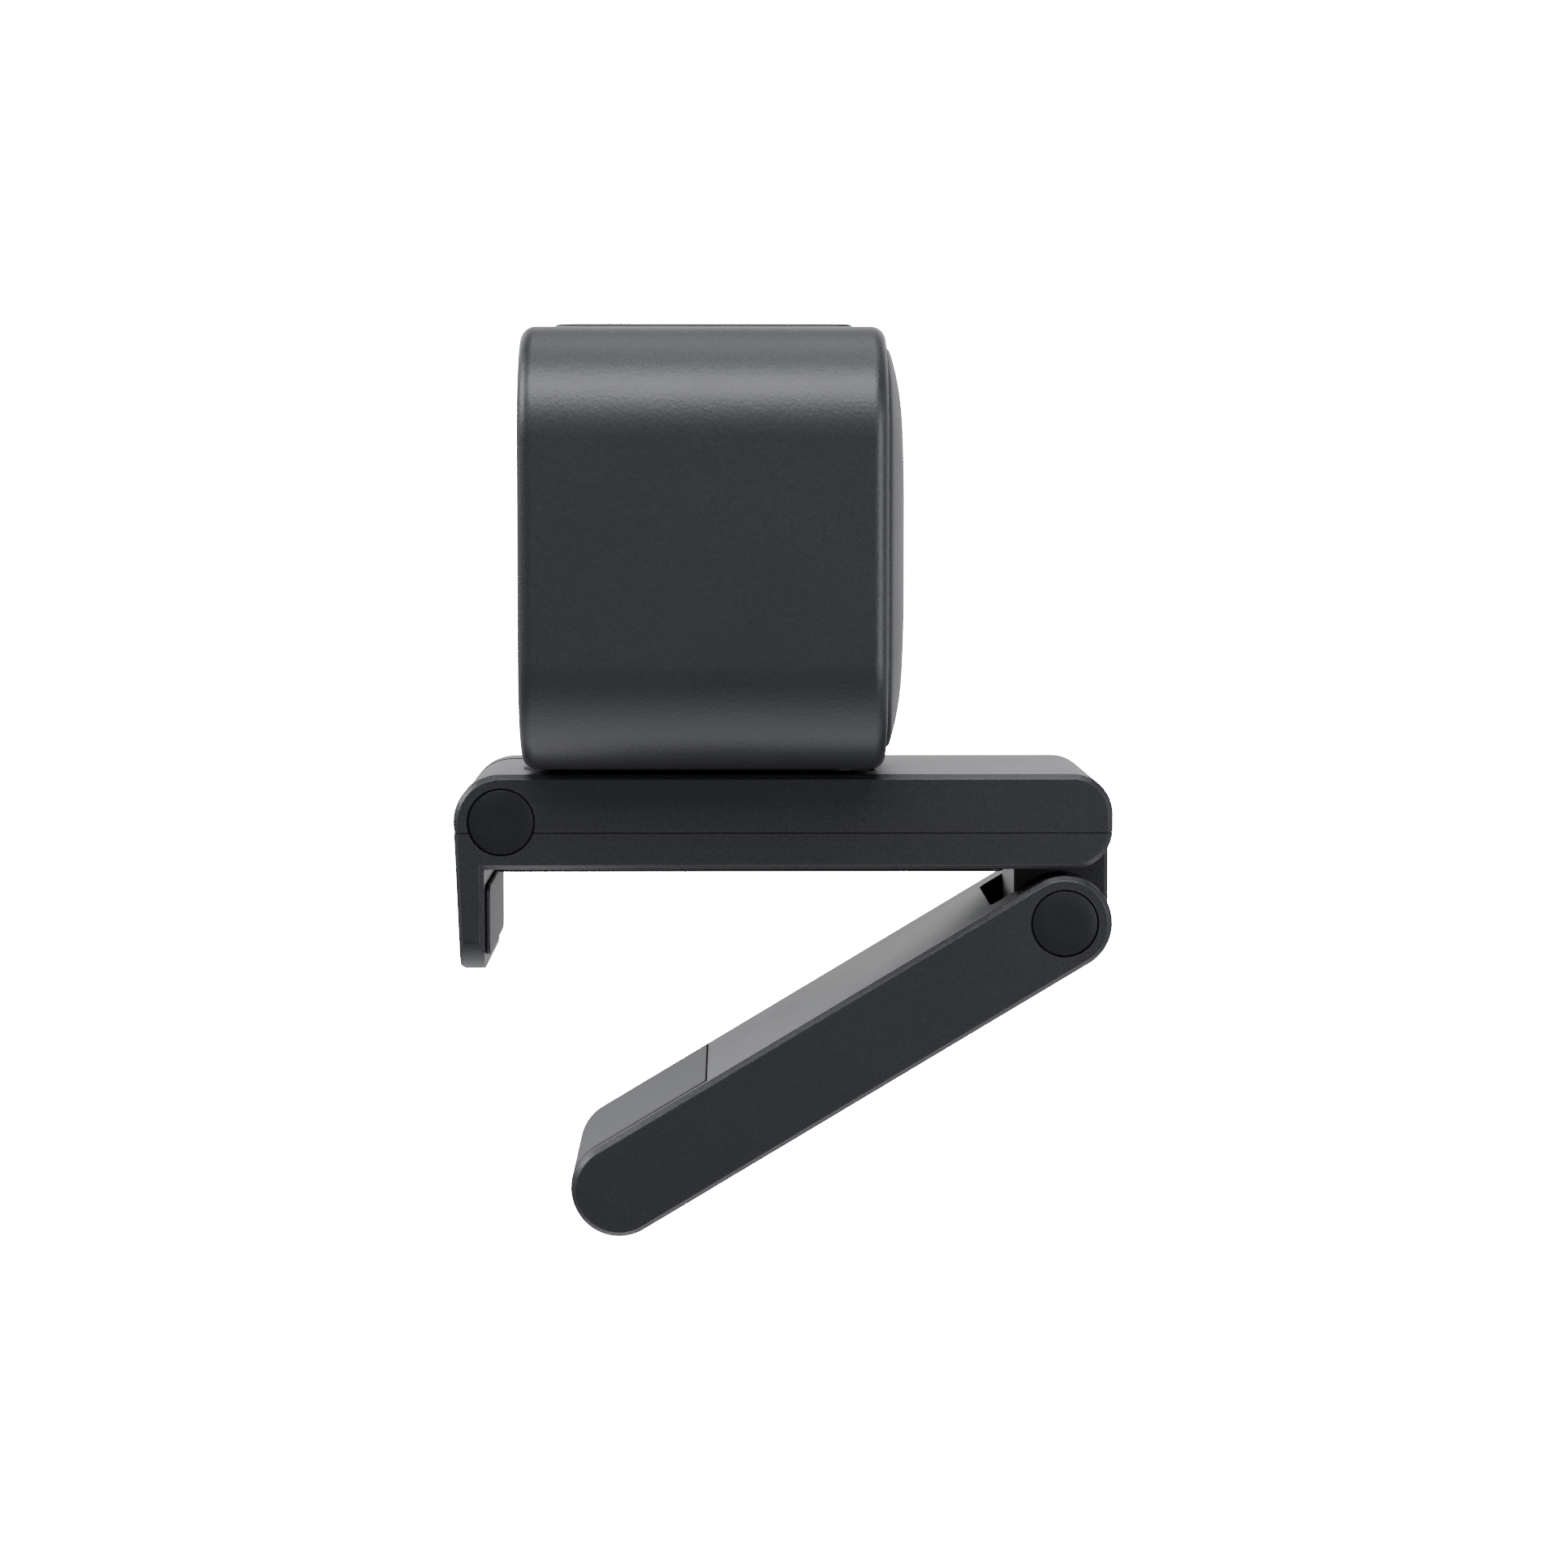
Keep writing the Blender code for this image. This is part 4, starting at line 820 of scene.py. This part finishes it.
class WEBCAM_OT_leg(Operator):
    """Make the fold-out leg, its rubber sleeve, the rear caps and the tripod thread"""
    bl_idname = "webcam.leg"
    bl_label = "Leg"

    def execute(self, context):
        turn = leg_turn()
        chamfer, soft = sizes().arm_chamfer / MM, sizes().edge_round / MM
        tip = LEG_Y - LEG_LENGTH
        side = arc(tip, LEG_Z, ARM_RADIUS, 90, 270, 48) + arc(LEG_Y, LEG_Z, ARM_RADIUS, -90, 90, 48)
        leg = loft("leg_frame_surface", chamfered(side, -ARM_HALF, ARM_HALF, chamfer, soft), "X")
        cut(leg, between(-SLOT_HALF, SLOT_HALF, LEG_Y - LEG_SLOT_END, FAR, 0.8, 6), -FAR, FAR, "Z")
        inner = ARM_RADIUS - SLEEVE_THICKNESS
        groove = self.band(ARM_RADIUS + 2, inner, SLEEVE_TOP_END + SLEEVE_END_GAP,
                           SLEEVE_BOTTOM_END + SLEEVE_END_GAP)
        cut(leg, groove, -SLEEVE_HALF - SLEEVE_SIDE_GAP, SLEEVE_HALF + SLEEVE_SIDE_GAP, "X")
        underside = LEG_Z - ARM_RADIUS
        drill(leg, 0, INSERT_Y, INSERT_HOLE, -FAR, underside + INSERT_HOLE_DEPTH, "Z", 48)
        ear_pockets(leg, LEG_Y, LEG_Z)
        finish_piece(leg, finish_for("shell"), "leg", ["leg_frame"], turn)
        band = self.band(ARM_RADIUS + SLEEVE_PROUD, inner + 0.05, SLEEVE_TOP_END, SLEEVE_BOTTOM_END)
        sleeve = loft("leg_sleeve_surface", chamfered(band, -SLEEVE_HALF, SLEEVE_HALF, 0.14, 0.05), "X")
        drill(sleeve, 0, INSERT_Y, SLEEVE_HOLE, -FAR, underside + 3, "Z", 64)
        finish_piece(sleeve, finish_for("pad"), "leg", ["leg_sleeve"], turn)
        flush_caps("leg", LEG_Y, LEG_Z, "leg", turn)
        self.tripod_thread(underside, turn)
        return {"FINISHED"}

    def band(self, outer, inner, top_end, bottom_end):
        """A band along the underside, round the tip and back along the top."""
        tip = LEG_Y - LEG_LENGTH
        return ([(top_end, LEG_Z + outer)] + arc(tip, LEG_Z, outer, 90, 270, 48)
                + [(bottom_end, LEG_Z - outer), (bottom_end, LEG_Z - inner)]
                + arc(tip, LEG_Z, inner, 270, 90, 48) + [(top_end, LEG_Z + inner)])

    def tripod_thread(self, underside, turn):
        """The brass insert, with the turns of its thread inside the bore."""
        flange, top, bore = underside + 0.83, underside + INSERT_LENGTH, INSERT_BORE
        profile = [(underside + 0.1, INSERT_FLANGE - 0.2), (underside + 0.3, INSERT_FLANGE),
                   (flange, INSERT_FLANGE), (flange, INSERT_BARREL), (top, INSERT_BARREL), (top, bore),
                   (underside + 0.35, bore), (underside + 0.1, bore + 0.25)]
        insert = turned("tripod_insert_surface", profile, 0, INSERT_Y, "Z", 64)
        finish_piece(insert, finish_for("brass"), "leg", ["tripod_insert"], turn)
        place = Matrix.Translation(Vector((0, INSERT_Y, underside + 0.9)) * MM)
        ring_stack("tripod_thread", sizes().thread_turns, 1.0, bore - 0.1, 0.28, place, "leg", "brass", turn)


class WEBCAM_OT_other_parts(Operator):
    """Give each part of the frame that still shows its own finish"""
    bl_idname = "webcam.other_parts"
    bl_label = "Other Parts"

    def execute(self, context):
        slots = {part["node"]: part["material_slot"] for part in frame["record"]["subparts"]}
        for node, piece in frame["nodes"].items():
            piece.data.materials.clear()
            piece.data.materials.append(finish_for(slots[node]))
        return {"FINISHED"}


# Floor, light and camera

def area_light(name, place, target, size, power, colour=(0.965, 0.972, 1.0)):
    data = bpy.data.lights.new(name, "AREA")
    data.shape = "RECTANGLE"
    data.size, data.size_y = size
    data.energy = power
    data.color = colour
    lamp = link(name, data)
    lamp.location = place
    lamp.rotation_euler = (Vector(target) - Vector(place)).to_track_quat("-Z", "Y").to_euler()


def studio_world():
    """White all round to the eye; as light, bright behind the object and dim on the viewer's side."""
    world = bpy.data.worlds.new("studio")
    bpy.context.scene.world = world
    world.use_nodes = True
    tree = world.node_tree
    backdrop = tree.nodes["Background"]
    backdrop.inputs["Color"].default_value = (0.965, 0.972, 1.0, 1.0)
    direction = add_node(tree, "ShaderNodeTexCoord").outputs["Generated"]
    split = add_node(tree, "ShaderNodeSeparateXYZ", None, {"Vector": direction})
    behind = add_node(tree, "ShaderNodeMapRange",
                      {"From Min": -0.3, "From Max": 0.15, "To Min": 1.0, "To Max": 0.0},
                      {"Value": split.outputs["X"]})
    steep = add_node(tree, "ShaderNodeMath", {"operation": "ABSOLUTE"}, {0: split.outputs["Z"]})
    band = add_node(tree, "ShaderNodeMapRange",
                    {"From Min": 0.25, "From Max": 0.75, "To Min": 1.2, "To Max": 0.2},
                    {"Value": steep.outputs["Value"]})
    backdrop_light = add_node(tree, "ShaderNodeMath", {"operation": "MULTIPLY"},
                              {0: behind.outputs["Result"], 1: band.outputs["Result"]})
    below = add_node(tree, "ShaderNodeMapRange",
                     {"From Min": -0.95, "From Max": -0.5, "To Min": 3.5, "To Max": 0.05},
                     {"Value": split.outputs["Z"]})
    glow = add_node(tree, "ShaderNodeMath", {"operation": "ADD"},
                    {0: backdrop_light.outputs["Value"], 1: below.outputs["Result"]})
    tree.links.new(glow.outputs["Value"], backdrop.inputs["Strength"])
    seen = add_node(tree, "ShaderNodeBackground", {"Color": (1, 1, 1, 1), "Strength": 30.0})
    ray = add_node(tree, "ShaderNodeLightPath")
    mix = add_node(tree, "ShaderNodeMixShader", None, {0: ray.outputs["Is Camera Ray"], 1: backdrop.outputs[0],
                                                       2: seen.outputs[0]})
    tree.links.new(mix.outputs[0], tree.nodes["World Output"].inputs["Surface"])


class WEBCAM_OT_stage(Operator):
    """Make the pale floor, the studio lights and the camera"""
    bl_idname = "webcam.stage"
    bl_label = "Stage"

    def execute(self, context):
        low = CAD_BOUNDS[0]
        bpy.ops.mesh.primitive_plane_add(size=6.0, location=(0, 0, 0))
        floor = context.active_object
        floor.name = "studio_floor"
        floor.data.transform(Matrix.Translation((0, 0, low[2] - 0.0006)))
        paper, tree, shader, place = begin("white_paper", (0.9, 0.9, 0.9), {"Roughness": 0.9})
        fibre = add_node(tree, "ShaderNodeTexNoise", {"Scale": per_metre(3.0)}, {"Vector": place})
        tint(tree, shader, fibre.outputs["Fac"], (0.9, 0.9, 0.9), 0.99, 1.01)
        shader.inputs["Emission Color"].default_value = (1, 1, 1, 1)
        shader.inputs["Emission Strength"].default_value = 30.0
        floor.data.materials.append(paper)
        for ray in ("diffuse", "glossy", "transmission", "shadow"):
            setattr(floor, f"visible_{ray}", False)
        middle = (0, 0, 0.01)
        area_light("front_softbox", (0.35, -0.02, 0.52), middle, (0.55, 0.32), 10.3)
        area_light("rear_panel", (-0.7, 0.0, 0.3), middle, (1.2, 0.3), 1.5)
        area_light("front_fill", (0.9, 0.0, 0.15), middle, (1.0, 0.8), 1.0)
        area_light("front_strip", (0.05, -0.7, 0.42), middle, (0.5, 0.35), 10.0)
        area_light("rear_strip", (0.5, 0.65, 0.08), middle, (0.5, 0.5), 8.0)
        area_light("overhead", (-0.15, 0.1, 0.7), middle, (0.6, 0.4), 3.0)
        studio_world()
        self.camera(context)
        return {"FINISHED"}

    def camera(self, context):
        """A long lens level with the object, a little above its middle."""
        data = bpy.data.cameras.new("camera")
        data.sensor_width = 36.0
        data.lens = 95.03
        data.clip_start, data.clip_end = 0.01, 50.0
        camera = link("camera", data)
        camera.location = (0.42285, -0.0018, 0.03943)
        sight = Vector((-1.0, 0.01255, -0.0747))
        camera.rotation_euler = sight.to_track_quat("-Z", "Y").to_euler()
        context.scene.camera = camera


class WEBCAM_PT_panel(Panel):
    """Sizes, colours and buttons for the webcam"""
    bl_idname = "WEBCAM_PT_panel"
    bl_label = "Monitor Clip Webcam"
    bl_space_type = "VIEW_3D"
    bl_region_type = "UI"
    bl_category = "Webcam"

    def draw(self, context):
        for group in (context.scene.webcam_sizes, context.scene.webcam_colours):
            column = self.layout.column()
            for name in group.__annotations__:
                column.prop(group, name)
        for operator in OPERATORS:
            self.layout.operator(operator.bl_idname)


OPERATORS = (WEBCAM_OT_head_housing, WEBCAM_OT_rear_cover, WEBCAM_OT_front, WEBCAM_OT_lens, WEBCAM_OT_arm,
             WEBCAM_OT_bracket, WEBCAM_OT_leg, WEBCAM_OT_other_parts, WEBCAM_OT_stage)
CLASSES = (WEBCAM_PG_sizes, WEBCAM_PG_colours, *OPERATORS, WEBCAM_PT_panel)


def register():
    for item in CLASSES:
        bpy.utils.register_class(item)
    bpy.types.Scene.webcam_sizes = PointerProperty(type=WEBCAM_PG_sizes)
    bpy.types.Scene.webcam_colours = PointerProperty(type=WEBCAM_PG_colours)


def unregister():
    del bpy.types.Scene.webcam_colours
    del bpy.types.Scene.webcam_sizes
    for item in reversed(CLASSES):
        bpy.utils.unregister_class(item)


def main():
    register()
    bpy.ops.webcam.head_housing()
    bpy.ops.webcam.rear_cover()
    bpy.ops.webcam.front()
    bpy.ops.webcam.lens()
    bpy.ops.webcam.arm()
    bpy.ops.webcam.bracket()
    bpy.ops.webcam.leg()
    bpy.ops.webcam.other_parts()
    bpy.ops.webcam.stage()


if __name__ == "__main__":
    main()
